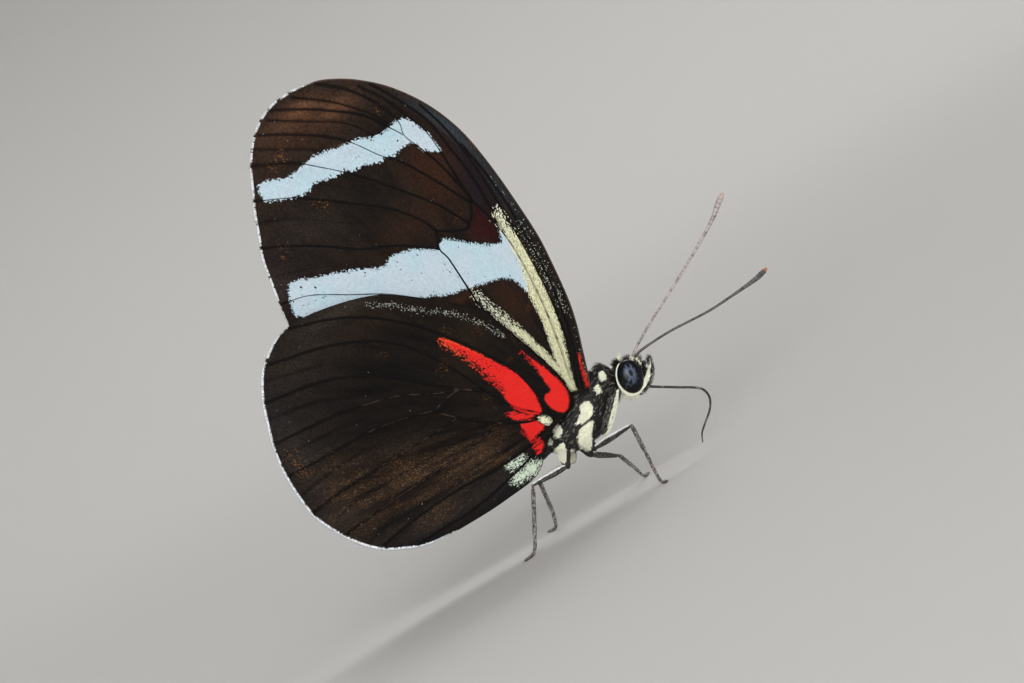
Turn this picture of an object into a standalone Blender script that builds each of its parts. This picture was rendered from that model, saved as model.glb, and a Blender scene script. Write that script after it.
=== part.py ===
"""A longwing butterfly at rest, life size: it stands on four legs with its wings closed over its back.

Every size is in millimetres in the animal's own frame and is turned into metres when a mesh is made. +X is
forwards, +Y is the animal's left, +Z is up, and the feet stand on z = 0. The body's middle plane is y = 0
there. One empty then carries all the parts so that the origin is the bottom centre of the box.
"""

import math

import bmesh
import bpy
import numpy as np
from mathutils import Vector
from mathutils.geometry import delaunay_2d_cdt

MM = 0.001
FRAME_CENTRE = (6.88, 0.45, 0.0)  # the box's bottom centre, in the animal's frame
GAP = 0.28  # clearance between neighbouring parts
SOCKET_GAP = 0.24  # the eye in its socket
SHARPEST = 1.7  # the most that a sharp corner is moved, in gaps

RIGHT = -1.0
LEFT = 1.0
SIDES = {"right": RIGHT, "left": LEFT}

# Wings: a membrane of one thickness, with its main veins raised as ridges on the underside, which faces out.
WING_THICKNESS = 0.5
VEIN_HEIGHT = 0.13
VEIN_HALF_WIDTH = 0.27
VEIN_STEP = 2.3
MARGIN_STEP = 1.9
MARGIN_FADE = 0.9
MEMBRANE_STEP = 3.6
ROOT_STEP = 1.3
ROOT_ZONE = 5.0
WING_PARTING = 0.55  # how much further from the middle plane each wing is at its tip
WING_REACH = 34.0
WING_PIVOT = (9.0, 9.0)  # the parting is counted from here
VEIN_RIM_CLEAR = 0.2  # how far a vein's points stay from the margin
FLANK_CLEAR = 1.25  # and a flank's points from other veins, in half widths
NET_RIM_CLEAR = 0.5  # how far the loose points of the membrane stay from the margin
NET_CLEAR = 0.42  # and from every other point, in steps

FOREWING_OUTLINE = (
    (10.3, 8.5), (11.2, 11.2), (12.3, 15.2), (12.8, 20.6), (12.5, 27.0), (11.4, 33.2), (9.1, 37.4),
    (5.6, 40.5), (2.6, 41.5), (-0.6, 41.4), (-3.3, 39.4), (-5.3, 36.0), (-6.9, 31.8), (-7.6, 28.2),
    (-7.9, 25.8), (-7.1, 24.3), (-4.0, 22.0), (1.0, 18.0), (5.6, 13.0), (8.0, 9.8), (8.7, 8.5),
)
FOREWING_VEINS = {
    "subcosta": ((10.6, 10.6), (11.6, 14.5), (12.2, 18.5), (12.3, 22.5), (12.0, 27.0), (11.7, 29.6)),
    "radius_1": ((9.9, 10.2), (11.2, 15.5), (11.5, 20.0), (11.3, 25.5), (11.1, 29.5), (10.5, 33.4),
                 (9.6, 35.8)),
    "radius": ((9.4, 10.2), (10.1, 14.4), (10.7, 19.0), (10.7, 22.5), (10.3, 25.2), (9.7, 27.2)),
    "radius_2": ((10.7, 23.2), (10.7, 28.0), (10.2, 32.0), (9.5, 35.0), (8.1, 37.9)),
    "radius_3": ((9.7, 27.2), (9.5, 31.2), (8.8, 34.7), (7.6, 37.4), (6.5, 39.3)),
    "radius_4": ((9.7, 27.2), (8.9, 30.8), (7.7, 34.1), (7.1, 37.0), (5.6, 39.5), (4.5, 40.7)),
    "radius_5": ((7.7, 34.1), (6.2, 36.0), (3.6, 38.1), (1.2, 40.0), (-0.2, 41.0)),
    "media_1": ((9.4, 26.8), (8.0, 30.0), (5.4, 33.5), (3.6, 35.9), (0.0, 38.3), (-2.2, 39.8)),
    "media_2": ((8.6, 25.2), (7.3, 28.0), (4.8, 31.4), (1.9, 34.0), (-0.6, 36.2), (-3.8, 38.0)),
    "media_3": ((5.9, 25.5), (5.5, 27.4), (3.0, 30.3), (-1.4, 33.5), (-4.9, 35.2)),
    "cross": ((9.7, 27.2), (9.2, 25.9), (8.4, 25.1), (7.0, 25.0), (5.5, 24.8)),
    "cubitus": ((9.0, 10.3), (8.2, 13.6), (7.0, 16.8), (6.1, 19.3), (5.9, 22.0), (5.5, 24.8), (6.0, 26.1)),
    "cubitus_1": ((5.5, 24.8), (2.8, 26.7), (-1.0, 28.8), (-4.0, 30.9), (-6.4, 31.9)),
    "cubitus_2": ((6.1, 19.3), (3.2, 21.5), (0.0, 23.8), (-3.6, 26.0), (-7.2, 27.4)),
    "anal": ((8.6, 10.0), (6.6, 13.2), (2.4, 18.0), (-3.0, 22.2), (-6.9, 24.8)),
}
FOREWING_ROOT = ((10.2, 9.2), (8.9, 9.0))
FOREWING_PLANE = 0.42  # distance of the membrane's middle from the animal's middle plane
FOREWING_FLARE = 0.8
FLARE_REACH = 3.2

HINDWING_OUTLINE = (
    (8.7, 8.8), (8.85, 10.4), (8.1, 13.2), (6.9, 16.4), (5.9, 18.9), (4.0, 20.8), (1.2, 22.9),
    (-1.8, 24.6), (-5.0, 25.35), (-8.0, 25.5), (-10.7, 24.2), (-12.7, 21.8), (-13.8, 18.8), (-14.15, 15.2),
    (-13.75, 11.4), (-12.2, 8.1), (-9.5, 5.8), (-6.0, 4.8), (-2.0, 4.6), (2.4, 5.0), (4.4, 5.8), (5.5, 7.1),
    (6.9, 8.1),
)
HINDWING_VEINS = {
    "subcosta": ((6.7, 9.1), (6.2, 12.2), (4.6, 15.9), (2.2, 19.2), (-1.0, 22.6), (-4.2, 24.2), (-7.4, 25.1)),
    "radius": ((6.2, 9.0), (4.2, 11.5), (2.3, 14.8), (0.4, 18.2), (-2.0, 20.8), (-5.2, 22.4), (-10.5, 23.6)),
    "media_1": ((3.1, 13.4), (1.2, 14.3), (-1.5, 16.8), (-4.5, 19.0), (-8.5, 20.7), (-12.3, 21.2)),
    "media_2": ((0.6, 14.4), (-2.5, 15.9), (-5.7, 17.0), (-9.5, 17.8), (-13.4, 18.0)),
    "media_3": ((-1.2, 13.9), (-5.0, 14.8), (-9.0, 15.1), (-13.6, 15.1)),
    "cross": ((3.1, 13.4), (0.6, 14.4), (-1.2, 13.9), (-0.4, 12.6)),
    "cubitus": ((6.0, 9.0), (4.0, 9.7), (2.5, 10.4), (-0.4, 12.6)),
    "cubitus_1": ((-0.4, 12.6), (-4.0, 12.2), (-9.0, 12.1), (-13.2, 11.7)),
    "cubitus_2": ((2.5, 10.4), (-0.5, 9.8), (-5.0, 9.2), (-9.0, 9.1), (-12.0, 8.8)),
    "anal_2": ((5.2, 8.2), (1.6, 7.6), (-3.0, 7.3), (-7.0, 7.1), (-10.2, 6.7)),
    "anal_3": ((4.9, 7.4), (2.0, 6.4), (-2.0, 5.6), (-5.2, 5.2)),
}
HINDWING_ROOT = ((8.2, 8.7), (5.9, 7.6))
HINDWING_PLANE = 1.33
HINDWING_FLARE = 1.0
ABDOMEN_ROOM = 0.52  # how far the hindwing bows out round the abdomen
BOW_START = -11.0  # the bow grows forwards from here
BOW_RUN = 5.0
BOW_LEVEL = 6.4  # it is highest at this level
BOW_REACH = 2.2
STALK_PATH = ((7.1, 2.35, 8.55), (7.05, 1.9, 8.3), (7.0, 1.1, 8.0))
STALK_RADII = (0.62, 0.72, 0.78)

# Trunk: stations along the body, each (x, z of the middle, half width, half height).
THORAX_STATIONS = (
    (5.15, 7.05, 0.70, 0.80), (5.5, 7.05, 1.10, 1.35), (6.3, 7.15, 1.50, 1.90), (7.3, 7.40, 1.72, 2.35),
    (8.4, 7.75, 1.86, 2.65), (9.5, 8.05, 1.86, 2.60), (10.4, 8.30, 1.65, 2.30), (11.05, 8.50, 1.30, 1.85),
    (11.35, 8.60, 0.90, 1.30),
)
TRUNK_CAP = 0.18  # how far the point at each end stands out
THORAX_WAIST = 0.22  # how much narrower the trunk is above its middle
PROTHORAX_WAIST = 0.1
PROTHORAX_STATIONS = (
    (11.0, 8.65, 1.00, 1.30), (11.5, 8.80, 1.28, 1.70), (12.05, 8.85, 1.20, 1.68), (12.5, 8.75, 0.95, 1.35),
    (12.75, 8.65, 0.60, 0.90),
)
ABDOMEN_SIDES = 14
ABDOMEN_AXIS_STEP = 0.4
ABDOMEN_AXIS = ((5.3, 6.95), (2.0, 6.55), (-2.5, 6.30), (-7.9, 6.15))
ABDOMEN_RADII = (0.80, 1.02, 1.16, 1.20, 1.20, 1.14, 1.00, 0.72)  # one for each ring of the abdomen
ABDOMEN_HEIGHT = 1.06
ABDOMEN_GROOVE = 0.09
ABDOMEN_CAPS = (0.3, 0.25)  # how far the points at its front and back end stand out
ABDOMEN_TIP = 0.55  # how much of its radius the last section has
RING_STATIONS = 3  # sections for each ring

HEAD_CENTRE = (13.72, 0.0, 8.45)
HEAD_RADII = (1.28, 0.95, 1.48)
EYE_CENTRE = (13.62, 0.86, 8.38)
EYE_RADII = (1.08, 0.74, 1.33)
EYE_DEPTH = 0.34  # how deep the eye sits on its inner side
EYE_TILT = math.radians(10.0)  # the eye leans forwards
EYE_TURN = math.radians(12.0)  # and looks a little forwards

PALP_PATH = (
    (13.3, 0.50, 6.95), (13.9, 0.54, 6.85), (14.75, 0.53, 7.25), (15.4, 0.48, 7.95), (15.65, 0.42, 8.45),
    (15.8, 0.36, 8.9),
)
PALP_STEP = 0.6
PALP_RADII = (0.20, 0.34, 0.40, 0.36, 0.26, 0.14)

PROBOSCIS_PATH = (
    (14.0, 0.0, 7.3), (14.5, 0.0, 6.86), (16.4, 0.0, 5.68), (17.7, 0.0, 4.90), (18.25, 0.0, 4.35),
    (18.32, 0.0, 3.55), (17.85, 0.0, 2.75), (17.05, 0.0, 2.05), (16.4, 0.0, 1.45), (16.05, 0.0, 0.75),
)
PROBOSCIS_STEP = 0.7
PROBOSCIS_RADII = (0.28, 0.27, 0.26, 0.26, 0.26, 0.26, 0.25, 0.25, 0.22, 0.12)

ANTENNA_PATHS = {
    "right": ((14.4, -0.42, 9.3), (15.05, -0.48, 9.95), (17.2, -0.75, 11.25), (20.4, -1.15, 12.95),
              (23.6, -1.50, 14.75), (25.6, -1.75, 16.0), (26.5, -1.85, 16.75), (27.25, -1.92, 17.3)),
    "left": ((14.4, 0.42, 9.2), (15.0, 0.55, 9.5), (15.8, 0.78, 9.66), (18.3, 1.85, 9.73), (21.7, 3.50, 9.50),
             (24.0, 4.65, 9.55), (26.4, 5.90, 9.70), (27.3, 6.42, 9.85), (27.8, 6.73, 9.97)),
}
ANTENNA_STEP = 1.4
ANTENNA_RADII = (0.27, 0.26, 0.25, 0.25, 0.26, 0.31, 0.36, 0.20)

# Each leg runs coxa, trochanter, knee, ankle, heel, toe. Both walking pairs stand on the flat of the tarsus.
LEGS = {
    "midleg_right": ((7.9, -0.75, 6.0), (8.25, -1.15, 4.75), (11.75, -2.7, 5.02), (11.6, -5.3, 2.7),
                     (11.45, -6.3, 0.32), (11.85, -7.9, 0.24)),
    "midleg_left": ((7.6, 0.75, 6.0), (7.75, 1.15, 4.35), (9.75, 3.6, 2.95), (10.3, 6.2, 1.45),
                    (10.65, 7.2, 0.30), (11.1, 8.8, 0.24)),
    "hindleg_right": ((6.0, -0.75, 6.0), (5.7, -1.15, 4.6), (2.55, -2.5, 4.78), (0.5, -4.1, 0.95),
                      (0.05, -4.8, 0.27), (-0.9, -6.1, 0.24)),
    "hindleg_left": ((6.6, 0.75, 6.1), (6.25, 1.15, 4.6), (3.1, 2.75, 4.5), (2.75, 5.4, 1.5),
                     (2.4, 6.5, 0.30), (1.7, 7.9, 0.24)),
}
COXA_RADII = (0.55, 0.62, 0.50, 0.36)
FEMUR_RADII = (0.33, 0.36, 0.34, 0.28)
TIBIA_RADII = (0.27, 0.26, 0.27, 0.29)
TARSUS_RADIUS = 0.26
TARSUS_JOINTS = 5
TARSUS_PINCH = 0.04
TARSUS_STEP = 0.36
COXA_END = 0.86  # how far along the coxa and the thigh their last sections lie
THIGH_END = 0.93
HEEL_LEAD = 0.75  # where the shin starts to bend into the heel
HEEL_TRAIL = 0.22  # and where the foot lies flat behind it

FORELEG_PATHS = {"coxa": ((11.6, 0.95, 7.7), (10.9, 1.15, 6.9), (9.75, 1.1, 5.75), (9.35, 1.0, 5.45)),
                 "shin": ((9.45, 1.05, 5.45), (9.95, 1.25, 5.6), (11.1, 1.45, 6.75), (12.15, 1.3, 7.9))}
FORELEG_STEP = 0.8
FORELEG_RADII = {"coxa": (0.28, 0.34, 0.30, 0.25), "shin": (0.25, 0.33, 0.34, 0.22)}

# Where each part hangs on its neighbour. Those of a pair are given for the left side.
JOINTS = {
    "thorax": (8.7, 0.0, 7.8), "prothorax": (11.0, 0.0, 8.6), "abdomen": (5.0, 0.0, 6.9),
    "head": (12.7, 0.0, 8.5), "proboscis": (14.4, 0.0, 6.9), "forewing": (9.5, 1.2, 9.2),
    "hindwing": (7.1, 2.0, 8.3), "foreleg": (11.6, 1.0, 7.7),
}

TUBE_SIDES = 8
CAP = 0.5  # how far the point at the end of a tube stands out, in radii
SHARPEST_MITRE = 0.72  # the least cosine that a mitre is widened by
TRUNK_STEP = 0.55

COLOURS = {
    "wing": ((0.022, 0.015, 0.011), 0.75),
    "trunk": ((0.018, 0.015, 0.012), 0.80),
    "eye": ((0.012, 0.014, 0.022), 0.15),
    "limb": ((0.075, 0.070, 0.065), 0.55),
    "feeler": ((0.050, 0.045, 0.042), 0.50),
}


def clear_scene():
    for old in list(bpy.data.objects):
        bpy.data.objects.remove(old)


def material(name):
    """A plain finish of the part's colour and roughness."""
    found = bpy.data.materials.get(name)
    if found:
        return found
    colour, roughness = COLOURS[name]
    made = bpy.data.materials.new(name)
    made.use_nodes = True
    shader = made.node_tree.nodes["Principled BSDF"]
    shader.inputs["Base Color"].default_value = (*colour, 1.0)
    shader.inputs["Roughness"].default_value = roughness
    shader.inputs["Metallic"].default_value = 0.0
    return made


def mesh_object(name, points, faces, finish, smooth=True):
    """A mesh object from points in millimetres. Its faces are turned to point outwards."""
    mesh = bpy.data.meshes.new(name)
    mesh.from_pydata([Vector(p) * MM for p in points], [], faces)
    work = bmesh.new()
    work.from_mesh(mesh)
    bmesh.ops.recalc_face_normals(work, faces=work.faces)
    work.to_mesh(mesh)
    work.free()
    if smooth:
        mesh.shade_smooth()
    mesh.materials.append(material(finish))
    made = bpy.data.objects.new(name, mesh)
    bpy.context.scene.collection.objects.link(made)
    return made


def helper(obj):
    """Marks an object as a cutter, which isn't a part."""
    obj.hide_render = True
    obj.display_type = "WIRE"
    return obj


def room(obj, gap=GAP):
    """Grows a solid by the gap, each face by at least that much, to be cut out of its neighbours."""
    work = bmesh.new()
    work.from_mesh(obj.data)
    work.normal_update()
    moves = [v.normal * gap * MM * min(v.calc_shell_factor(), SHARPEST) for v in work.verts]
    for vertex, move in zip(work.verts, moves):
        vertex.co += move
    work.to_mesh(obj.data)
    work.free()
    return helper(obj)


def catmull_rom(points, step, closed=False):
    """A smooth curve through all the points, with about one more point every step millimetres."""
    p = np.array(points, float)
    count = len(p)
    spans = count if closed else count - 1
    out = []
    for i in range(spans):
        if closed:
            a, b, c, d = (p[(i + k) % count] for k in (-1, 0, 1, 2))
        else:
            b, c = p[i], p[i + 1]
            a = p[i - 1] if i else 2 * b - c
            d = p[i + 2] if i + 2 < count else 2 * c - b
        pieces = max(1, round(float(np.linalg.norm(c - b)) / step))
        for k in range(pieces):
            t = k / pieces
            out.append(0.5 * (2 * b + (c - a) * t + (2 * a - 5 * b + 4 * c - d) * t**2
                              + (3 * b - a - 3 * c + d) * t**3))
    if not closed:
        out.append(p[-1])
    return np.array(out)


def spread(values, count):
    """The values read at count even places, by straight lines between them."""
    return np.interp(np.linspace(0, 1, count), np.linspace(0, 1, len(values)), values)


def rings_to_faces(rings, sides):
    """Faces of a closed skin over rings of points, with a pole point at each end."""
    faces = [(0, 1 + k, 1 + (k + 1) % sides) for k in range(sides)]
    for r in range(rings - 1):
        low, high = 1 + r * sides, 1 + (r + 1) * sides
        faces += [(low + k, high + k, high + (k + 1) % sides, low + (k + 1) % sides) for k in range(sides)]
    last, pole = 1 + (rings - 1) * sides, 1 + rings * sides
    faces += [(last + k, pole, last + (k + 1) % sides) for k in range(sides)]
    return faces


def tube(name, path, radii, sides, finish, floor=None):
    """A round tube along the path, mitred where it bends. It is flat where it would pass the floor."""
    path = np.array(path, float)
    radii = np.asarray(radii, float)
    directions = np.diff(path, axis=0)
    directions /= np.linalg.norm(directions, axis=1)[:, None]
    across = np.cross(directions[0], (0.0, 0.0, 1.0))
    if np.linalg.norm(across) < 0.1:
        across = np.array((0.0, 1.0, 0.0))
    across /= np.linalg.norm(across)
    angles = (np.arange(sides) + 0.5) * 2 * math.pi / sides
    points = [path[0] - directions[0] * radii[0] * CAP]
    for i, centre in enumerate(path):
        before = directions[max(i - 1, 0)]
        after = directions[min(i, len(directions) - 1)]
        along = before + after
        along /= np.linalg.norm(along)
        across = across - along * (across @ along)
        across /= np.linalg.norm(across)
        other = np.cross(along, across)
        bend = before - after
        length = np.linalg.norm(bend)
        mitre = 1.0 / max(SHARPEST_MITRE, math.sqrt((1 + before @ after) / 2))
        for angle in angles:
            offset = (across * math.cos(angle) + other * math.sin(angle)) * radii[i]
            if length > 1e-6:
                unit = bend / length
                offset = offset + unit * (offset @ unit) * (mitre - 1)
            points.append(centre + offset)
    points.append(path[-1] + directions[-1] * radii[-1] * CAP)
    points = np.array(points)
    if floor is not None:
        points[:, 2] = np.maximum(points[:, 2], floor)
    return mesh_object(name, points, rings_to_faces(len(path), sides), finish)


def smooth_tube(name, path, step, radii, finish):
    """A tube along a smooth curve through the path, with its radii spread evenly along it."""
    curve = catmull_rom(path, step)
    return tube(name, curve, spread(radii, len(curve)), TUBE_SIDES, finish)


def egg_section(sides, half_width, half_height, waist):
    """Offsets (y, z) round an egg that is narrower above its middle."""
    angle = (np.arange(sides) + 0.5) * 2 * math.pi / sides
    rise = np.sin(angle)
    return np.stack([np.cos(angle) * half_width * (1 - waist * rise), rise * half_height], axis=1)


def trunk(name, stations, sides, waist, finish):
    """A body part lofted through egg-shaped sections across X, closed by a point at each end."""
    stations = catmull_rom(stations, TRUNK_STEP)
    points = [(stations[0][0] - TRUNK_CAP, 0.0, stations[0][1])]
    for x, z, half_width, half_height in stations:
        section = egg_section(sides, half_width, half_height, waist)
        points += [(x, y, z + rise) for y, rise in section]
    points.append((stations[-1][0] + TRUNK_CAP, 0.0, stations[-1][1]))
    return mesh_object(name, points, rings_to_faces(len(stations), sides), finish)


def ellipsoid(name, centre, radii, finish, sides=20, rings=11, lean=0.0, turn=0.0, depth=None):
    """An ellipsoid whose poles point sideways. lean turns it about Y, and turn about Z, for either side.

    depth is the shorter half width that it has towards the middle plane.
    """
    side = 1.0 if centre[1] >= 0 else -1.0
    a, b, c = radii
    steps = (np.arange(rings) + 1) * math.pi / (rings + 1)
    points = [(0.0, -b, 0.0)]
    for step in steps:
        for k in range(sides):
            angle = 2 * math.pi * k / sides
            points.append((a * math.sin(step) * math.cos(angle), -b * math.cos(step),
                           c * math.sin(step) * math.sin(angle)))
    points.append((0.0, b, 0.0))
    p = np.array(points)
    if depth:
        p[:, 1] = np.where(p[:, 1] * side < 0, p[:, 1] * depth / b, p[:, 1])
    cos, sin = math.cos(lean), math.sin(lean)
    p = np.stack([p[:, 0] * cos + p[:, 2] * sin, p[:, 1], p[:, 2] * cos - p[:, 0] * sin], axis=1)
    cos, sin = math.cos(turn), -math.sin(turn) * side
    p = np.stack([p[:, 0] * cos - p[:, 1] * sin, p[:, 0] * sin + p[:, 1] * cos, p[:, 2]], axis=1)
    return mesh_object(name, p + np.array(centre), rings_to_faces(rings, sides), finish)


def evaluated_mesh(obj):
    graph = bpy.context.evaluated_depsgraph_get()
    return bpy.data.meshes.new_from_object(obj.evaluated_get(graph))


def keep_largest(mesh):
    """Deletes every loose part of a mesh but the one with the most faces."""
    work = bmesh.new()
    work.from_mesh(mesh)
    left = set(work.verts)
    parts = []
    while left:
        start = left.pop()
        part, edge = {start}, [start]
        while edge:
            vert = edge.pop()
            for link in vert.link_edges:
                other = link.other_vert(vert)
                if other not in part:
                    part.add(other)
                    edge.append(other)
        left -= part
        parts.append(part)
    parts.sort(key=len)
    for part in parts[:-1]:
        bmesh.ops.delete(work, geom=list(part), context="VERTS")
    work.to_mesh(mesh)
    work.free()


def boolean(obj, others, operation):
    """Applies one Boolean with a collection of closed objects, and removes them."""
    group = bpy.data.collections.new(obj.name + "_" + operation.lower())
    bpy.context.scene.collection.children.link(group)
    for other in others:
        group.objects.link(other)
    modifier = obj.modifiers.new(operation.title(), "BOOLEAN")
    modifier.operation = operation
    modifier.operand_type = "COLLECTION"
    modifier.collection = group
    modifier.solver = "EXACT"
    bpy.context.view_layer.update()
    result = evaluated_mesh(obj)
    obj.modifiers.clear()
    keep_largest(result)
    old = obj.data
    obj.data = result
    bpy.data.meshes.remove(old)
    obj.data.name = obj.name
    for other in others:
        bpy.data.objects.remove(other)
    bpy.data.collections.remove(group)
    return obj


def cut(obj, *neighbours, gap=GAP):
    """Cuts an object clear of its neighbours, each grown by the gap."""
    return boolean(obj, [room(n, gap) for n in neighbours], "DIFFERENCE")


def distance_to_line(points, line):
    """Distance of each 2D point to a line of straight pieces."""
    best = np.full(len(points), np.inf)
    for a, b in zip(line[:-1], line[1:]):
        along = b - a
        t = np.clip(((points - a) @ along) / max(along @ along, 1e-12), 0, 1)
        best = np.minimum(best, np.linalg.norm(points - (a + t[:, None] * along), axis=1))
    return best


def inside(points, outline):
    """Whether each 2D point lies in the closed outline, by counting crossings of a level line."""
    x, z = points[:, 0], points[:, 1]
    found = np.zeros(len(points), bool)
    for a, b in zip(outline, np.roll(outline, -1, axis=0)):
        crosses = (a[1] > z) != (b[1] > z)
        with np.errstate(divide="ignore", invalid="ignore"):
            at = (b[0] - a[0]) * (z - a[1]) / (b[1] - a[1]) + a[0]
        found ^= crosses & (x < at)
    return found


def parting(points):
    """How far the wings part towards their tips: it grows with the square of the way from the root."""
    reach = np.hypot(points[:, 0] - WING_PIVOT[0], points[:, 1] - WING_PIVOT[1]) / WING_REACH
    return WING_PARTING * reach**2


def forewing_middle(points):
    """Distance of the forewing's middle from the middle plane: close to it, and flared at the root."""
    root = distance_to_line(points, np.array(FOREWING_ROOT))
    return FOREWING_PLANE + parting(points) + FOREWING_FLARE * np.exp(-((root / FLARE_REACH) ** 2))


def hindwing_middle(points):
    """Distance of the hindwing's middle from the middle plane. It bows out round the abdomen."""
    root = distance_to_line(points, np.array(HINDWING_ROOT))
    flare = HINDWING_FLARE * np.exp(-((root / FLARE_REACH) ** 2))
    along = np.clip((points[:, 0] - BOW_START) / BOW_RUN, 0, 1)
    fall = np.exp(-(((points[:, 1] - BOW_LEVEL) / BOW_REACH) ** 2))
    bow = ABDOMEN_ROOM * fall * along * along * (3 - 2 * along)
    return HINDWING_PLANE + parting(points) + np.cbrt(flare**3 + bow**3)


WINGS = {
    "forewing": (FOREWING_OUTLINE, FOREWING_VEINS, forewing_middle, FOREWING_ROOT),
    "hindwing": (HINDWING_OUTLINE, HINDWING_VEINS, hindwing_middle, HINDWING_ROOT),
}


def wing_net(outline, veins, root):
    """A flat net of triangles in the wing's plane, with edges along every vein and both its flanks."""
    lines = [catmull_rom(v, VEIN_STEP) for v in veins.values()]
    rim = np.vstack([outline, outline[:1]])
    points, edges = [tuple(p) for p in outline], []
    count = len(points)
    for k, line in enumerate(lines):
        others = [o for j, o in enumerate(lines) if j != k]
        along = np.gradient(line, axis=0)
        along /= np.linalg.norm(along, axis=1)[:, None]
        normal = np.stack([-along[:, 1], along[:, 0]], axis=1)
        for offset in (0.0, VEIN_HALF_WIDTH, -VEIN_HALF_WIDTH):
            shifted = line + normal * offset
            keep = inside(shifted, outline) & (distance_to_line(shifted, rim) > VEIN_RIM_CLEAR)
            if offset:
                clear = np.min([distance_to_line(shifted, o) for o in others], axis=0)
                keep &= clear > VEIN_HALF_WIDTH * FLANK_CLEAR
            previous = None
            for p, kept in zip(shifted, keep):
                if not kept:
                    previous = None
                    continue
                points.append(tuple(p))
                if previous is not None:
                    edges.append((previous, len(points) - 1))
                previous = len(points) - 1
    fixed = np.array(points)
    low, high = outline.min(axis=0), outline.max(axis=0)
    for step, zone in ((MEMBRANE_STEP, math.inf), (ROOT_STEP, ROOT_ZONE)):
        x, z = np.meshgrid(np.arange(low[0], high[0], step), np.arange(low[1], high[1], step))
        loose = np.stack([x.ravel(), z.ravel()], axis=1)
        from_root = distance_to_line(loose, np.array(root))
        near = np.min(np.linalg.norm(loose[:, None] - fixed[None], axis=2), axis=1)
        clear = near > step * NET_CLEAR
        zoned = from_root < zone if zone < math.inf else from_root >= ROOT_ZONE
        edge = distance_to_line(loose, rim) > NET_RIM_CLEAR
        points += [tuple(p) for p in loose[inside(loose, outline) & clear & zoned & edge]]
    net = delaunay_2d_cdt([Vector(p) for p in points], edges, [list(range(count))], 1, 1e-3)
    return np.array([tuple(v) for v in net[0]]), [tuple(f) for f in net[2]], lines


def wing(name, side, outline, veins, middle, root):
    """A slab over the net: both faces have the same triangles, and the veins stand up on the outer one."""
    outline = catmull_rom(outline, MARGIN_STEP, closed=True)
    flat, faces, lines = wing_net(outline, veins, root)
    away = np.min([distance_to_line(flat, line) for line in lines], axis=0)
    margin = distance_to_line(flat, np.vstack([outline, outline[:1]]))
    ridge = VEIN_HEIGHT * np.clip(1 - away / VEIN_HALF_WIDTH, 0, 1) * np.clip(margin / MARGIN_FADE, 0, 1)
    centre = middle(flat)
    outer = side * (centre + WING_THICKNESS / 2 + ridge)
    inner = side * (centre - WING_THICKNESS / 2)
    count = len(flat)
    points = [(x, y, z) for (x, z), y in zip(flat, outer)] + [(x, y, z) for (x, z), y in zip(flat, inner)]
    ends = {}
    for face in faces:
        for a, b in zip(face, face[1:] + face[:1]):
            ends[a, b] = ends.get((a, b), 0) + 1
    rim = [(a, b) for a, b in ends if (b, a) not in ends]
    skin = list(faces) + [tuple(count + k for k in reversed(face)) for face in faces]
    skin += [(b, a, count + a, count + b) for a, b in rim]
    return mesh_object(name, points, skin, "wing", smooth=False)


def thorax(name="thorax"):
    return trunk(name, THORAX_STATIONS, 20, THORAX_WAIST, "trunk")


def prothorax(name="prothorax"):
    return trunk(name, PROTHORAX_STATIONS, 16, PROTHORAX_WAIST, "trunk")


def abdomen():
    """A tapering body of rings, pinched between one and the next."""
    axis = catmull_rom(ABDOMEN_AXIS, ABDOMEN_AXIS_STEP)
    count = len(ABDOMEN_RADII)
    share = np.linspace(0, 1, count * RING_STATIONS + 1)
    at = share * (len(axis) - 1)
    x = np.interp(at, np.arange(len(axis)), axis[:, 0])
    z = np.interp(at, np.arange(len(axis)), axis[:, 1])
    radius = np.interp(share * count - 0.5, np.arange(count), ABDOMEN_RADII)
    radius = radius - np.where(np.arange(len(share)) % RING_STATIONS == 0, ABDOMEN_GROOVE, 0.0)
    radius[-1] *= ABDOMEN_TIP
    stations = np.stack([x, z, radius, radius * ABDOMEN_HEIGHT], axis=1)
    points = [(stations[0][0] + ABDOMEN_CAPS[0], 0.0, stations[0][1])]
    for x, z, half_width, half_height in stations:
        points += [(x, y, z + rise) for y, rise in egg_section(ABDOMEN_SIDES, half_width, half_height, 0.0)]
    points.append((stations[-1][0] - ABDOMEN_CAPS[1], 0.0, stations[-1][1]))
    return mesh_object("abdomen", points, rings_to_faces(len(stations), ABDOMEN_SIDES), "trunk")


def mirrored(path, side):
    return [(x, y * side, z) for x, y, z in path]


def eye(side, name="eye"):
    centre = (EYE_CENTRE[0], EYE_CENTRE[1] * side, EYE_CENTRE[2])
    return ellipsoid(name, centre, EYE_RADII, "eye", 20, 11, EYE_TILT, EYE_TURN, EYE_DEPTH)


def head(name="head"):
    return ellipsoid(name, HEAD_CENTRE, HEAD_RADII, "trunk", 22, 13)


def tongue(name="proboscis"):
    return smooth_tube(name, PROBOSCIS_PATH, PROBOSCIS_STEP, PROBOSCIS_RADII, "feeler")


def walking_leg(name):
    """One bent tube from the coxa to the toe. It bulges at the thigh, and the foot has five short joints."""
    coxa, trochanter, knee, ankle, heel, toe = (np.array(p, float) for p in LEGS[name])
    path, radii = [], []
    for a, b, widths, end in (
        (coxa, trochanter, COXA_RADII, COXA_END),
        (trochanter, knee, FEMUR_RADII, THIGH_END),
        (knee, ankle, TIBIA_RADII, 1.0),
    ):
        path += [a + (b - a) * share for share in np.linspace(0, end, len(widths))]
        radii += list(widths)
    bend = [ankle, ankle + (heel - ankle) * HEEL_LEAD, heel + (toe - heel) * HEEL_TRAIL, toe]
    foot = catmull_rom(bend, TARSUS_STEP)[1:]
    joint = np.abs((np.linspace(0, TARSUS_JOINTS, len(foot)) % 1.0) - 0.5) * 2
    path += list(foot)
    radii += list(TARSUS_RADIUS - TARSUS_PINCH * joint**3)
    return tube(name, path, radii, TUBE_SIDES, "limb", floor=0.0)


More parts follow.
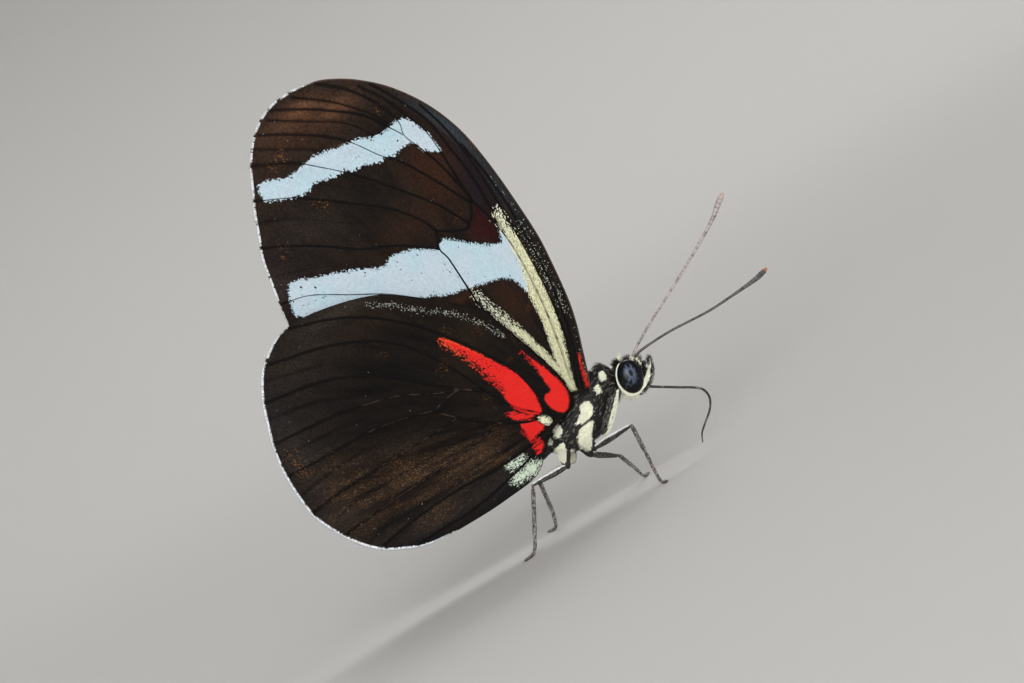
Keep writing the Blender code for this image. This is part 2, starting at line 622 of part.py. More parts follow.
def foreleg(name, side):
    """The reduced foreleg, folded against the chest: a coxa and a shin, side by side, that meet below."""
    pieces = [smooth_tube(name, mirrored(FORELEG_PATHS[part], side), FORELEG_STEP, radii, "limb")
              for part, radii in FORELEG_RADII.items()]
    whole = boolean(pieces[0], pieces[1:], "UNION")
    whole.name = name
    return whole


def hindwing_stalk(side):
    """The thick root of the hindwing, which runs in to the side of the thorax."""
    return tube("hindwing_stalk", mirrored(STALK_PATH, side), STALK_RADII, 10, "wing")


def stand_origin(obj, point, carrier):
    """Puts an object's origin at its joint, and hangs it on the carrier."""
    offset = Vector(point) * MM
    obj.data.transform(obj.matrix_world)
    for vertex in obj.data.vertices:
        vertex.co -= offset
    obj.location = offset
    obj.parent = carrier
    return obj


def folded_wing(kind, side, name):
    """One wing, cut clear of the thorax."""
    outline, veins, middle, root = WINGS[kind]
    made = wing(name, side, outline, veins, middle, root)
    if kind == "hindwing":
        boolean(made, [hindwing_stalk(side)], "UNION")
    return cut(made, thorax())


def build():
    clear_scene()
    carrier = bpy.data.objects.new("butterfly", None)
    carrier.location = [-c * MM for c in FRAME_CENTRE]
    bpy.context.scene.collection.objects.link(carrier)
    parts = [(thorax(), JOINTS["thorax"])]

    chest = prothorax()
    cut(chest, thorax(), head(), *(eye(s) for s in SIDES.values()))
    parts.append((chest, JOINTS["prothorax"]))

    tail = abdomen()
    cut(tail, thorax())
    parts.append((tail, JOINTS["abdomen"]))

    skull = head()
    cut(skull, *(eye(s) for s in SIDES.values()), gap=SOCKET_GAP)
    parts.append((skull, JOINTS["head"]))

    drinker = tongue()
    cut(drinker, head())
    parts.append((drinker, JOINTS["proboscis"]))

    for word, side in SIDES.items():
        wing_joint, hind_joint, leg_joint, eye_joint = mirrored(
            (JOINTS["forewing"], JOINTS["hindwing"], JOINTS["foreleg"], EYE_CENTRE), side)
        parts.append((eye(side, f"eye_{word}"), eye_joint))

        palp_path = mirrored(PALP_PATH, side)
        palp = smooth_tube(f"palp_{word}", palp_path, PALP_STEP, PALP_RADII, "trunk")
        cut(palp, head(), eye(side), tongue())
        parts.append((palp, palp_path[0]))

        feeler_path = ANTENNA_PATHS[word]
        feeler = smooth_tube(f"antenna_{word}", feeler_path, ANTENNA_STEP, ANTENNA_RADII, "feeler")
        cut(feeler, head(), eye(side))
        parts.append((feeler, feeler_path[0]))

        parts.append((folded_wing("forewing", side, f"forewing_{word}"), wing_joint))
        parts.append((folded_wing("hindwing", side, f"hindwing_{word}"), hind_joint))

        folded = foreleg(f"foreleg_{word}", side)
        cut(folded, thorax(), prothorax(), head(), eye(side))
        parts.append((folded, leg_joint))

    for name, (_, trochanter, *_) in LEGS.items():
        leg = walking_leg(name)
        cut(leg, thorax())
        parts.append((leg, trochanter))

    for obj, joint in parts:
        stand_origin(obj, joint, carrier)


build()
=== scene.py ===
"""The looks of a longwing butterfly at rest: scaled wings, haired body, faceted eyes, and a studio round it.

Shapes are worked out in millimetres in the animal's own frame, where +X is forwards, +Y its left and +Z up,
with the middle plane of the body at y = 0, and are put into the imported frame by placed().
"""

import math

import bmesh
import bpy
import numpy as np
from mathutils import Matrix


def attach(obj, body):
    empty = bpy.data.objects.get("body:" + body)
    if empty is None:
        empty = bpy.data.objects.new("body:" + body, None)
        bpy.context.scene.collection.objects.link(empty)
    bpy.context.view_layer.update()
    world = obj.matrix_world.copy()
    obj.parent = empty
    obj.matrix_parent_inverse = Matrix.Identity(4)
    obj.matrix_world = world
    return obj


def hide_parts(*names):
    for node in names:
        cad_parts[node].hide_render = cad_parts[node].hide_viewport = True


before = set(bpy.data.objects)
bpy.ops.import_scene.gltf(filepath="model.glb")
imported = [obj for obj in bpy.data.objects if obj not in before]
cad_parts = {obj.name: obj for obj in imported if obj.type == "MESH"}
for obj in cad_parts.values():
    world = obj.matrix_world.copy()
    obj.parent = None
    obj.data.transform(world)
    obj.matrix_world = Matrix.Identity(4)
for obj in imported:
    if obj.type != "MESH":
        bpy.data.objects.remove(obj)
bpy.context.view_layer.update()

MM = 0.001
BOX_CENTRE = np.array((6.88, 0.45, 0.0))  # the frame's origin, in the animal's own frame
SIDES = {"right": -1.0, "left": 1.0}

# Camera: the photo's width at the near wings, its middle there, and how far it is turned
PHOTO_WIDTH = 81.92
PHOTO_MIDDLE = (6.83, -1.3, 15.5)
CAMERA_ROLL = math.radians(30.0)
CAMERA_RISE = math.radians(2.0)
CAMERA_DISTANCE = 360.0
SENSOR = 36.0

# Wings: how thick they are, at the rim, at the front edge and at the root, and how far each of these reaches
MEMBRANE = 0.10
RIM_THICKNESS, RIM_FADE = 0.05, 0.5
COSTA_THICKNESS, COSTA_REACH = 0.26, 0.25
COSTA_TOP, COSTA_FADE = 38.0, 16.0  # it thins out towards this height, over so much of it
ROOT_THICKNESS, ROOT_REACH = 0.35, 1.2

# Their pleats, up at the veins and down at the folds, and the veins' radius, which falls with the way out
PLEAT, PLEAT_FADE = 0.05, 1.2
VEIN_REACH, FOLD_REACH = 0.45, 0.5
VEIN_RADIUS, VEIN_TAPER, VEIN_LIMITS = 0.13, 0.0030, (0.068, 0.11)
VEIN_SCALE = {"forewing": 1.0, "hindwing": 0.92}

# Their grid, how far they stand from the middle plane, and the bow of the hindwing round the abdomen
ROW_STEP = 0.125
COLUMNS = {"forewing": 150, "hindwing": 166}
WING_PARTING, WING_REACH = 0.55, 34.0
WING_BASE = (9.0, 9.0)
FLARE_REACH = 3.2
FOREWING_OUT, FOREWING_FLARE = 0.42, 0.8
HINDWING_OUT = 1.33
BOW, BOW_LEVEL, BOW_REACH = 0.52, 6.4, 2.2
BOW_FROM, BOW_FADE = -11.0, 5.0
FOREWING_ROOT = ((10.2, 9.2), (8.9, 9.0))
HINDWING_ROOT = ((8.2, 8.7), (5.9, 7.6))
FAN_CENTRE = (9.3, 8.6)  # the point that the rows of scales fan out from
FAN_SPREAD = 22.0
DEPTH_LIMIT = 1.5

# Tufts, as shares of length and width: how deep they are rooted, how far middle and tip bend, and their taper
TUFT_SINK, TUFT_RIDGE, TUFT_TAPER = 0.08, 0.35, 0.72
MIDDLE_BEND, TIP_BEND = 0.12, 0.45
CREAM_WIDTH = 0.085  # of the broad cream scales, in millimetres
FLOOR_CLEARANCE = 0.02  # no bristle's tip is lower than this

# The corners of a tuft on its coat's own unwrap, round the place of its root
TUFT_PATCH = np.array(((-1, -1), (1, -1), (0, -0.4), (-1, 0.3), (1, 0.3), (0, 0.6), (0, 1))) * 0.0015


def srgb(red, green, blue):
    """A colour given as a screen shows it, 0 to 255, as the linear numbers that the shaders take."""
    parts = np.array((red, green, blue)) / 255.0
    linear = np.where(parts <= 0.04045, parts / 12.92, ((parts + 0.055) / 1.055) ** 2.4)
    return (*(float(p) for p in linear), 1.0)


def placed(points):
    """Points of the animal's own frame, in millimetres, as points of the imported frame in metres."""
    return (np.asarray(points, float) - BOX_CENTRE) * MM


# Outlines and marks on the wings, as (x, z), each in the animal's own frame

FOREWING_REAR = (
    (8.6, 8.6), (7.8, 9.9), (6.0, 12.4), (3.0, 16.0), (-1.0, 19.6), (-5.0, 22.6), (-7.6, 24.6), (-8.0, 25.7),
    (-7.8, 27.2), (-7.5, 29.0), (-7.1, 31.2), (-6.5, 32.8), (-5.8, 34.7), (-5.1, 36.2), (-4.3, 37.9),
    (-3.3, 39.4), (-1.9, 40.7), (-0.3, 41.42), (1.6, 41.62),
)
FOREWING_FRONT = (
    (10.2, 8.6), (10.8, 10.1), (11.5, 12.3), (12.1, 14.3), (12.5, 16.4), (12.8, 19.6), (12.9, 22.0),
    (12.7, 25.5), (12.4, 28.6), (11.9, 31.6), (11.1, 34.0), (10.0, 36.1), (8.4, 38.2), (6.6, 39.8),
    (5.0, 40.8), (3.5, 41.4), (1.6, 41.62),
)
HINDWING_REAR = (
    (-4.5, 4.58), (-7.0, 4.9), (-8.8, 5.5), (-10.5, 6.4), (-11.9, 7.8), (-13.1, 9.7), (-13.8, 11.3),
    (-14.1, 13.2), (-14.15, 15.6), (-13.9, 17.5), (-13.3, 19.7), (-12.7, 21.4), (-11.7, 23.2), (-10.4, 24.4),
    (-9.1, 25.2), (-7.6, 25.55),
)
HINDWING_FRONT = (
    (-4.5, 4.58), (-1.5, 4.64), (1.0, 4.85), (2.6, 5.05), (3.7, 5.5), (4.5, 6.3), (5.4, 7.2), (6.3, 7.9),
    (7.6, 8.4), (8.6, 8.9), (8.85, 9.8), (8.7, 11.2), (8.0, 13.4), (7.3, 15.5), (6.7, 17.2), (6.1, 18.8),
    (5.0, 19.9), (3.6, 21.1), (2.0, 22.4), (0.0, 23.8), (-1.6, 24.5), (-3.4, 25.0), (-5.6, 25.4),
    (-7.6, 25.55),
)
FOREWING_VEINS = {
    "subcosta": ((9.9, 9.5), (10.9, 12.6), (11.7, 16.5), (12.0, 20.0), (12.0, 24.8), (11.7, 28.5),
                 (11.2, 31.2)),
    "radius_1": ((9.6, 9.8), (10.6, 13.0), (11.25, 17.0), (11.44, 21.0), (11.44, 24.8), (11.35, 28.3),
                 (11.0, 31.5), (10.5, 33.8), (9.9, 35.6)),
    "radius_2": ((10.68, 23.5), (10.68, 28.3), (10.3, 31.2), (9.8, 34.2), (8.6, 36.8), (7.3, 39.0)),
    "radius": ((9.3, 10.0), (10.1, 14.0), (10.6, 18.0), (10.7, 22.0), (10.3, 25.0), (9.7, 26.8)),
    "radius_3": ((9.7, 26.8), (9.56, 29.8), (9.3, 33.3), (8.6, 35.2), (7.8, 37.2), (6.4, 39.3)),
    "radius_4": ((9.7, 27.2), (9.0, 30.4), (8.2, 32.6), (7.6, 34.1), (7.75, 35.3), (7.0, 37.4), (5.4, 39.6),
                 (3.6, 41.1)),
    "radius_5": ((7.6, 34.1), (6.9, 35.2), (5.6, 37.1), (3.65, 38.6), (2.2, 39.6), (0.4, 40.6), (-0.8, 41.2)),
    "media_1": ((9.5, 26.8), (7.9, 29.8), (6.4, 32.3), (5.1, 33.7), (3.65, 35.7), (1.9, 37.3), (-0.8, 39.0),
                (-2.5, 39.9)),
    "media_2": ((8.6, 25.35), (7.2, 27.9), (5.1, 30.5), (3.06, 32.9), (0.56, 35.2), (-1.35, 36.7),
                (-4.1, 38.0)),
    "media_3": ((6.0, 26.2), (5.56, 27.3), (3.8, 29.5), (1.6, 31.2), (-0.8, 33.0), (-2.7, 34.25),
                (-5.4, 35.5)),
    "cross": ((9.6, 26.9), (9.4, 26.5), (9.1, 25.9), (8.6, 25.35), (8.2, 25.1), (7.0, 25.6), (6.0, 26.2)),
    "cubitus": ((9.0, 10.0), (8.2, 12.9), (7.0, 16.3), (6.1, 18.9), (5.9, 21.3), (5.75, 23.8), (5.5, 24.8),
                (6.0, 26.2)),
    "cubitus_1": ((5.5, 24.8), (2.8, 26.7), (0.1, 27.9), (-2.5, 29.7), (-5.5, 31.4), (-6.7, 31.9)),
    "cubitus_2": ((6.1, 18.9), (4.5, 20.1), (2.2, 22.1), (0.0, 23.8), (-2.5, 25.2), (-5.3, 26.75),
                  (-7.6, 27.3)),
    "anal": ((8.6, 10.0), (6.6, 13.2), (2.4, 18.0), (-3.0, 22.2), (-6.9, 24.8)),
}
FOREWING_FOLDS = (
    ((-5.9, 33.8), (-3.1, 32.6), (-0.2, 30.5), (2.2, 29.1), (3.35, 28.1)),
    ((-3.3, 39.1), (-1.65, 38.1), (0.7, 36.7), (3.2, 34.4)),
    ((-1.35, 40.6), (1.3, 39.0), (4.2, 37.1), (6.0, 34.4)),
    ((1.3, 41.2), (3.9, 39.3), (6.0, 37.1), (7.0, 35.6)),
    ((-4.9, 36.6), (-2.2, 35.3), (0.4, 33.6), (2.9, 31.4)),
    ((-7.2, 29.5), (-4.15, 28.6), (-1.06, 27.0), (0.4, 26.1)),
)
HINDWING_VEINS = {
    "subcosta": ((6.6, 9.0), (6.4, 11.3), (5.66, 13.8), (3.96, 16.5), (2.0, 19.1), (-0.1, 21.3), (-2.6, 23.2),
                 (-5.1, 24.4), (-8.1, 25.3)),
    "radius": ((6.0, 9.4), (4.5, 10.8), (3.07, 13.1), (1.8, 15.75), (0.2, 18.25), (-1.6, 20.3), (-3.7, 21.6),
               (-6.6, 22.7), (-9.4, 23.3), (-11.3, 23.7)),
    "media_1": ((3.0, 13.1), (1.3, 14.3), (-0.9, 16.1), (-3.0, 17.9), (-5.9, 19.6), (-8.7, 20.5),
                (-12.7, 21.1)),
    "media_2": ((1.2, 14.3), (-0.9, 15.1), (-3.0, 16.2), (-5.9, 17.0), (-8.7, 17.5), (-13.8, 17.9)),
    "media_3": ((-1.2, 13.8), (-3.4, 14.4), (-6.6, 14.95), (-10.9, 15.0), (-14.0, 15.1)),
    "cross": ((2.2, 13.7), (1.0, 14.3), (-1.2, 13.8), (-0.7, 13.1), (0.0, 12.4)),
    "cubitus": ((6.2, 8.9), (4.5, 9.4), (2.5, 10.5), (0.6, 11.9), (0.0, 12.4)),
    "cubitus_1": ((0.0, 12.4), (-3.4, 12.2), (-7.3, 12.1), (-11.2, 11.9), (-13.8, 11.6)),
    "cubitus_2": ((2.7, 10.3), (-0.1, 9.9), (-3.0, 9.5), (-6.9, 9.3), (-10.9, 8.96), (-12.5, 8.75)),
    "anal_2": ((5.8, 8.3), (4.0, 7.6), (0.9, 7.3), (-3.0, 7.4), (-6.9, 7.1), (-10.2, 6.5)),
    "anal_3": ((4.5, 7.0), (0.2, 5.9), (-3.0, 5.4), (-6.4, 5.3), (-7.8, 5.1)),
}
HINDWING_FOLDS = (
    ((-11.9, 22.6), (-9.8, 22.1), (-7.3, 21.5)),
    ((-13.0, 19.8), (-9.4, 19.2), (-6.6, 18.1), (-3.7, 16.9)),
    ((-13.9, 16.7), (-8.7, 16.4), (-5.9, 15.9)),
    ((-13.8, 13.3), (-10.9, 13.7), (-8.0, 13.8), (-2.4, 13.1)),
    ((-12.3, 10.3), (-9.8, 10.7), (-3.2, 10.7), (2.2, 10.6)),
    ((-11.0, 7.3), (-9.6, 7.7), (-5.5, 7.8), (-0.1, 7.9), (3.2, 8.25)),
)

# Stretches of the hindwing's veins that are rubbed to tan
RUBBED = (
    HINDWING_VEINS["cross"], HINDWING_VEINS["media_3"][:3], HINDWING_VEINS["cubitus_1"][:3],
    HINDWING_VEINS["cubitus_2"][:5], HINDWING_VEINS["media_2"][:4],
)

# Bands, streaks and red marks
OUTER_BAND = (
    (-4.75, 35.5), (-4.6, 36.3), (-3.9, 36.5), (-2.5, 35.9), (-0.8, 36.0), (0.4, 36.3), (1.9, 36.0),
    (3.4, 35.8), (4.5, 35.6), (5.1, 35.3), (6.0, 35.1), (6.9, 35.2), (7.3, 35.4), (8.1, 35.4), (8.55, 34.9),
    (8.9, 34.3), (9.3, 33.3), (9.5, 32.1), (9.42, 31.5), (8.8, 32.0), (8.35, 32.3), (8.1, 32.9), (7.8, 33.4),
    (6.6, 33.2), (6.0, 33.1), (5.4, 33.4), (5.1, 33.2), (4.2, 33.4), (3.5, 33.7), (2.6, 33.6), (2.2, 34.0),
    (1.3, 33.9), (0.1, 34.2), (-0.8, 34.4), (-1.2, 34.0), (-1.9, 34.0), (-3.4, 34.5), (-4.6, 35.0),
)
INNER_BAND = (
    (-6.75, 27.6), (-6.4, 28.3), (-5.5, 28.3), (-4.0, 27.7), (-2.7, 27.3), (-1.2, 26.75), (0.1, 26.1),
    (1.2, 25.8), (1.6, 26.2), (2.5, 26.1), (3.4, 25.9), (4.2, 25.5), (5.5, 24.8), (5.7, 25.1), (6.15, 25.3),
    (6.7, 25.0), (7.3, 24.5), (8.1, 23.8), (9.2, 23.1), (10.1, 22.8), (10.5, 24.0), (10.9, 22.0),
    (10.6, 19.5), (9.9, 18.2), (9.75, 18.8), (9.6, 19.35), (9.2, 19.9), (8.65, 20.3), (7.8, 20.5),
    (6.9, 20.7), (5.9, 21.0), (5.1, 21.1), (4.2, 21.3), (3.65, 21.6), (2.9, 21.9), (0.5, 22.6), (-2.6, 24.0),
    (-5.4, 25.2), (-6.8, 25.7), (-7.2, 26.2),
)
CELL_STREAK = (
    (10.55, 25.0), (10.5, 23.5), (10.55, 21.5), (10.3, 19.6), (9.95, 18.4), (9.85, 17.2), (9.75, 15.7),
    (9.45, 14.1), (9.2, 12.9), (9.05, 11.9), (8.85, 10.6), (8.95, 9.75), (9.3, 9.6), (9.62, 10.8),
    (10.0, 12.0), (10.4, 13.2), (10.8, 14.5), (11.1, 16.1), (11.3, 17.9), (11.4, 19.6), (11.45, 22.0),
    (11.35, 24.4), (11.2, 25.4),
)
STEM_STREAK = (
    (6.15, 19.6), (6.6, 17.9), (7.0, 16.7), (7.6, 15.2), (8.1, 13.8), (8.5, 12.3), (8.9, 11.1), (9.2, 11.6),
    (9.1, 12.2), (8.9, 12.9), (8.5, 14.35), (8.1, 15.8), (7.5, 17.3), (6.9, 18.8), (6.45, 20.2), (6.15, 20.6),
)
COSTA_RED = (
    (11.02, 12.17), (11.06, 11.86), (10.92, 11.38), (10.79, 10.74), (10.66, 10.11), (10.53, 9.55),
    (10.32, 9.28), (10.13, 9.36), (10.2, 9.81), (10.37, 10.56), (10.59, 11.28), (10.82, 11.86),
)
COSTA_SPECKS = ((11.75, 15.6), (11.85, 18.0), (11.95, 20.5), (12.05, 23.3))
COSTA_DOTS = (
    (10.55, 9.8), (11.15, 12.0), (11.8, 14.4), (12.3, 17.5), (12.55, 20.5), (12.5, 23.5), (11.9, 28.0),
)
MAROON = (
    (8.3, 25.0), (8.2, 24.1), (9.0, 23.4), (10.0, 23.2), (10.35, 24.2), (10.1, 25.4), (9.6, 26.3),
    (9.2, 25.9), (8.6, 25.3),
)
HIND_SPECKS = (
    (-1.6, 23.8), (0.0, 22.8), (1.0, 21.9), (2.0, 21.1), (3.0, 20.4), (4.0, 19.7), (5.0, 18.5), (5.6, 17.7),
    (6.4, 16.3),
)
HIND_TUFT = ((5.5, 9.15), (6.0, 9.1), (6.4, 8.6), (6.25, 8.25), (5.8, 8.55))
FAN_RED = (
    (1.9, 18.65), (2.4, 18.25), (3.1, 17.4), (3.8, 16.4), (4.5, 15.3), (5.0, 14.5), (5.6, 13.6), (6.0, 12.7),
    (6.25, 11.6), (6.3, 10.9), (6.2, 9.9), (5.95, 9.4), (5.2, 9.75), (4.65, 10.35), (4.2, 11.1), (4.1, 11.8),
    (4.0, 12.95), (3.63, 14.15), (3.34, 15.25), (2.85, 16.35), (2.4, 17.3), (2.0, 18.05),
)
WEDGE_RED = (
    (3.6, 10.45), (3.75, 10.65), (4.1, 10.7), (4.5, 10.2), (5.4, 9.5), (4.9, 9.55), (4.1, 9.85), (3.7, 10.2),
)
ANAL_RED = (
    (4.1, 9.4), (4.6, 9.42), (5.1, 9.3), (5.45, 8.9), (5.7, 8.3), (5.0, 8.15), (4.2, 7.88), (4.05, 8.6),
)
STRIPES_RED = (
    ((4.1, 7.78), (4.95, 7.82), (4.9, 7.68), (4.05, 7.62)),
    ((4.05, 7.5), (4.95, 7.6), (4.95, 7.46), (4.0, 7.34)),
    ((4.0, 7.22), (5.0, 7.36), (4.95, 7.2), (4.4, 6.66), (3.96, 6.78), (4.2, 7.05)),
)
ROOT_RED = (
    (7.1, 14.4), (7.4, 13.7), (7.9, 12.7), (8.3, 11.6), (8.6, 10.6), (8.6, 9.7), (8.3, 9.0), (7.7, 8.55),
    (7.3, 8.75), (6.9, 9.4), (6.75, 10.0), (7.0, 10.5), (7.6, 10.6), (7.5, 11.3), (7.45, 12.4), (7.3, 13.4),
)
ANAL_CREAM = (
    ((1.4, 6.85), (1.6, 7.2), (2.3, 7.25), (3.1, 7.25), (3.05, 6.95), (2.4, 6.6), (1.8, 6.62)),
    ((1.1, 5.7), (1.5, 6.1), (2.3, 6.3), (3.1, 6.6), (3.7, 6.4), (4.05, 6.0), (3.8, 5.6), (3.0, 5.35),
     (2.0, 5.3), (1.4, 5.4)),
)

# How far the rows of specks reach to both sides of their lines
COSTA_SPECKS_WIDTH, COSTA_DOTS_WIDTH, HIND_SPECKS_WIDTH = 0.34, 0.02, 0.27

# Soft patches of colour on the ground of the wings: x, z, half widths along both, and strength
FOREWING_SHADES = {
    "warm": ((8.4, 30.6, 2.4, 3.4, 1.0), (8.6, 18.8, 1.2, 2.2, 0.8), (4.9, 20.5, 1.6, 0.5, 0.9),
             (1.5, 38.6, 3.4, 1.6, 0.9), (4.0, 27.4, 3.0, 1.4, 0.5)),
    "cool": ((11.2, 31.0, 1.3, 5.0, 1.0), (10.4, 27.6, 0.9, 1.6, 1.0), (9.4, 20.2, 0.7, 2.2, 0.8),
             (-5.6, 29.0, 2.2, 2.4, 0.6)),
    "dust": ((1.5, 40.0, 1.6, 0.7, 0.8), (4.0, 38.7, 1.5, 0.7, 0.8), (-1.2, 39.4, 2.2, 1.2, 0.25)),
    "grey": ((-7.2, 28.6, 1.6, 1.6, 1.0), (-3.0, 31.4, 3.4, 2.0, 0.4)),
    "sheen": ((11.3, 33.6, 2.6, 3.6, 1.0), (12.6, 27.0, 1.2, 4.0, 0.5)),
}
HINDWING_SHADES = {
    "warm": ((-3.0, 22.6, 7.0, 1.6, 0.8), (4.2, 17.6, 2.0, 2.4, 0.8), (2.2, 15.6, 1.4, 2.0, 0.6)),
    "cool": ((1.0, 5.8, 4.5, 1.6, 1.0), (-6.5, 6.0, 4.0, 1.3, 0.9), (-12.8, 18.0, 1.5, 5.0, 0.8)),
    "dust": ((-7.5, 10.0, 4.6, 2.6, 1.0), (-2.0, 9.4, 4.2, 1.6, 0.9), (-11.0, 12.5, 2.4, 2.4, 0.7),
             (1.0, 8.0, 2.4, 1.2, 0.6), (-4.6, 6.4, 3.0, 1.2, 0.6)),
    "grey": ((-4.0, 24.5, 3.6, 0.7, 1.0), (-12.6, 16.6, 1.2, 2.6, 0.6), (-11.9, 10.2, 1.6, 1.2, 0.6),
             (-9.6, 22.6, 2.0, 1.0, 0.5)),
}


# Curves and distances

def smooth_line(points, step, closed=False):
    """A Catmull-Rom curve through the points, with about one point every step millimetres."""
    p = np.array(points, float)
    count = len(p)
    out = []
    for i in range(count if closed else count - 1):
        if closed:
            a, b, c, d = (p[(i + k) % count] for k in (-1, 0, 1, 2))
        else:
            b, c = p[i], p[i + 1]
            a = p[i - 1] if i else 2 * b - c
            d = p[i + 2] if i + 2 < count else 2 * c - b
        t = np.linspace(0, 1, max(1, round(float(np.linalg.norm(c - b)) / step)), endpoint=False)[:, None]
        cubic = 2 * b + (c - a) * t + (2 * a - 5 * b + 4 * c - d) * t**2 + (3 * b - a - 3 * c + d) * t**3
        out.append(0.5 * cubic)
    return np.vstack(out if closed else [*out, p[-1:]])


def line_distance(points, line):
    """How far each 2D point is from a line of straight pieces: the least over the pieces."""
    best = np.full(len(points), np.inf)
    for start, run in zip(line, np.diff(line, axis=0)):
        offset = points - start
        t = np.clip(offset @ run / max(run @ run, 1e-12), 0, 1)
        best = np.minimum(best, np.hypot(*(offset - t[:, None] * run).T))
    return best


def patch_depth(points, corners, step=0.4):
    """How deep each 2D point is inside a closed outline, in millimetres, and less than 0 outside it."""
    outline = smooth_line(corners, step, closed=True)
    ring = np.vstack([outline, outline[:1]])
    x, z = points.T
    within = np.zeros(len(points), bool)
    for a, b in zip(ring[:-1], ring[1:]):
        if a[1] != b[1]:
            level = (b[0] - a[0]) * (z - a[1]) / (b[1] - a[1]) + a[0]
            within ^= ((a[1] > z) != (b[1] > z)) & (x < level)
    return np.clip(line_distance(points, ring) * np.where(within, 1, -1), -DEPTH_LIMIT, DEPTH_LIMIT)


def deepest(points, patches, step=0.4):
    """The depth inside several outlines taken together."""
    return np.max([patch_depth(points, p, step) for p in patches], axis=0)


def nearest_line(points, lines, step=0.8):
    """The distance to the nearest of several curves."""
    return np.min([line_distance(points, smooth_line(line, step)) for line in lines], axis=0)


def unit(vectors):
    """Vectors, each brought to length 1."""
    return vectors / np.maximum(np.linalg.norm(vectors, axis=-1, keepdims=True), 1e-12)


def way_along(line):
    """How far along a line each of its points is."""
    return np.append(0.0, np.cumsum(np.linalg.norm(np.diff(line, axis=0), axis=1)))


def ring_angles(count):
    """The angles of so many places round a ring."""
    return np.arange(count) * 2 * math.pi / count


def bell(x):
    """exp(-x squared): 1 at 0 and falling off to both sides."""
    return np.exp(-(x**2))


def spread(values, count):
    """A few values spread evenly over count places, with straight lines between them."""
    return np.interp(np.linspace(0, 1, count), np.linspace(0, 1, len(values)), values)


def mirrored(path, side):
    """A path of the left side, on the given side."""
    return np.asarray(path) * (1.0, side, 1.0)


def gathered(rows):
    """Rows of fields put together field by field."""
    return (np.concatenate(field) for field in zip(*rows))


# Meshes

def link_mesh(name, points, blocks, body="root"):
    """A smooth mesh object from points in millimetres and blocks of faces, each of one kind of face."""
    mesh = bpy.data.meshes.new(name)
    mesh.vertices.add(len(points))
    mesh.vertices.foreach_set("co", placed(points).astype(np.float32).ravel())
    blocks = [np.asarray(b, np.int32) for b in blocks]
    corners = np.concatenate([b.ravel() for b in blocks])
    sizes = np.concatenate([np.full(len(b), b.shape[1], np.int32) for b in blocks])
    mesh.loops.add(len(corners))
    mesh.loops.foreach_set("vertex_index", corners)
    mesh.polygons.add(len(sizes))
    mesh.polygons.foreach_set("loop_start", np.append(0, np.cumsum(sizes)[:-1]).astype(np.int32))
    mesh.update(calc_edges=True)
    mesh.shade_smooth()
    piece = bpy.data.objects.new(name, mesh)
    bpy.context.scene.collection.objects.link(piece)
    if body:
        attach(piece, body)
    return piece


def outward(piece):
    """Turns every face of a closed piece outwards."""
    work = bmesh.new()
    work.from_mesh(piece.data)
    bmesh.ops.recalc_face_normals(work, faces=work.faces)
    work.to_mesh(piece.data)
    work.free()
    return piece


def carry(piece, **values):
    """Gives a piece a number for each of its points, or one for all of them, under each name."""
    for name, numbers in values.items():
        layer = piece.data.attributes.new(name, "FLOAT", "POINT")
        numbers = np.broadcast_to(np.ravel(numbers), len(piece.data.vertices))
        layer.data.foreach_set("value", numbers.astype(np.float32))
    return piece


def finish_with(piece, material):
    """Gives a piece its material."""
    piece.data.materials.append(material)
    return piece


def grid_faces(rows, columns, wrap=False):
    """Four-sided faces between the neighbours of a grid. With wrap, the last column meets the first."""
    r, c = np.meshgrid(np.arange(rows - 1), np.arange(columns if wrap else columns - 1), indexing="ij")
    corners = [r * columns + c, r * columns + (c + 1) % columns]
    return np.stack([*corners, corners[1] + columns, corners[0] + columns], axis=-1).reshape(-1, 4)


def tube_rings(path, radii, sides):
    """Rings round a path: centre + radius (cos a N + sin a B), as an array (stations, sides, 3).

    N and B are square to the path, and N is carried along it without a twist.
    """
    path = np.asarray(path, float)
    tangent = unit(np.gradient(path, axis=0))
    side = np.cross(tangent[0], (0.0, 0.0, 1.0))
    if np.linalg.norm(side) < 0.2:
        side = np.array((0.0, 1.0, 0.0))
    carried = []
    for direction in tangent:
        side = unit(side - direction * (side @ direction))
        carried.append(side)
    n = np.array(carried)
    b = np.cross(tangent, n)
    angle = ring_angles(sides)[None, :, None]
    ring = np.cos(angle) * n[:, None] + np.sin(angle) * b[:, None]
    return path[:, None] + np.asarray(radii, float)[:, None, None] * ring


def closed_tube(rings):
    """Points and faces of a skin over rings, closed by a point at the middle of each end ring."""
    rows, columns = rings.shape[:2]
    points = np.vstack([rings.reshape(-1, 3), rings[0].mean(axis=0), rings[-1].mean(axis=0)])
    k = np.arange(columns)
    after = (k + 1) % columns
    first, last = rows * columns, rows * columns + 1
    start = np.stack([np.full(columns, first), after, k], axis=1)
    end = np.stack([np.full(columns, last), first - columns + k, first - columns + after], axis=1)
    return points, [grid_faces(rows, columns, wrap=True), np.vstack([start, end])]


def joined(parts):
    """Several (points, blocks) put together as one."""
    points, blocks, start = [], [], 0
    for p, faces in parts:
        points.append(p)
        blocks += [f + start for f in faces]
        start += len(p)
    return np.vstack(points), blocks


def tube_piece(name, tubes):
    """One piece from closed tubes, each given as its rings, and the piece's points in the animal's frame."""
    points, blocks = joined([closed_tube(rings) for rings in tubes])
    return outward(link_mesh(name, points, blocks)), points


# Wings

def root_distance(x, z, ends):
    """How far each place of a wing is from the line between the two ends of its root."""
    points = np.stack([np.ravel(x), np.ravel(z)], axis=1)
    return line_distance(points, np.array(ends)).reshape(np.shape(x))


def away_from_base(x, z):
    """How far each place of a wing is from where the wings meet the body."""
    return np.hypot(x - WING_BASE[0], z - WING_BASE[1])


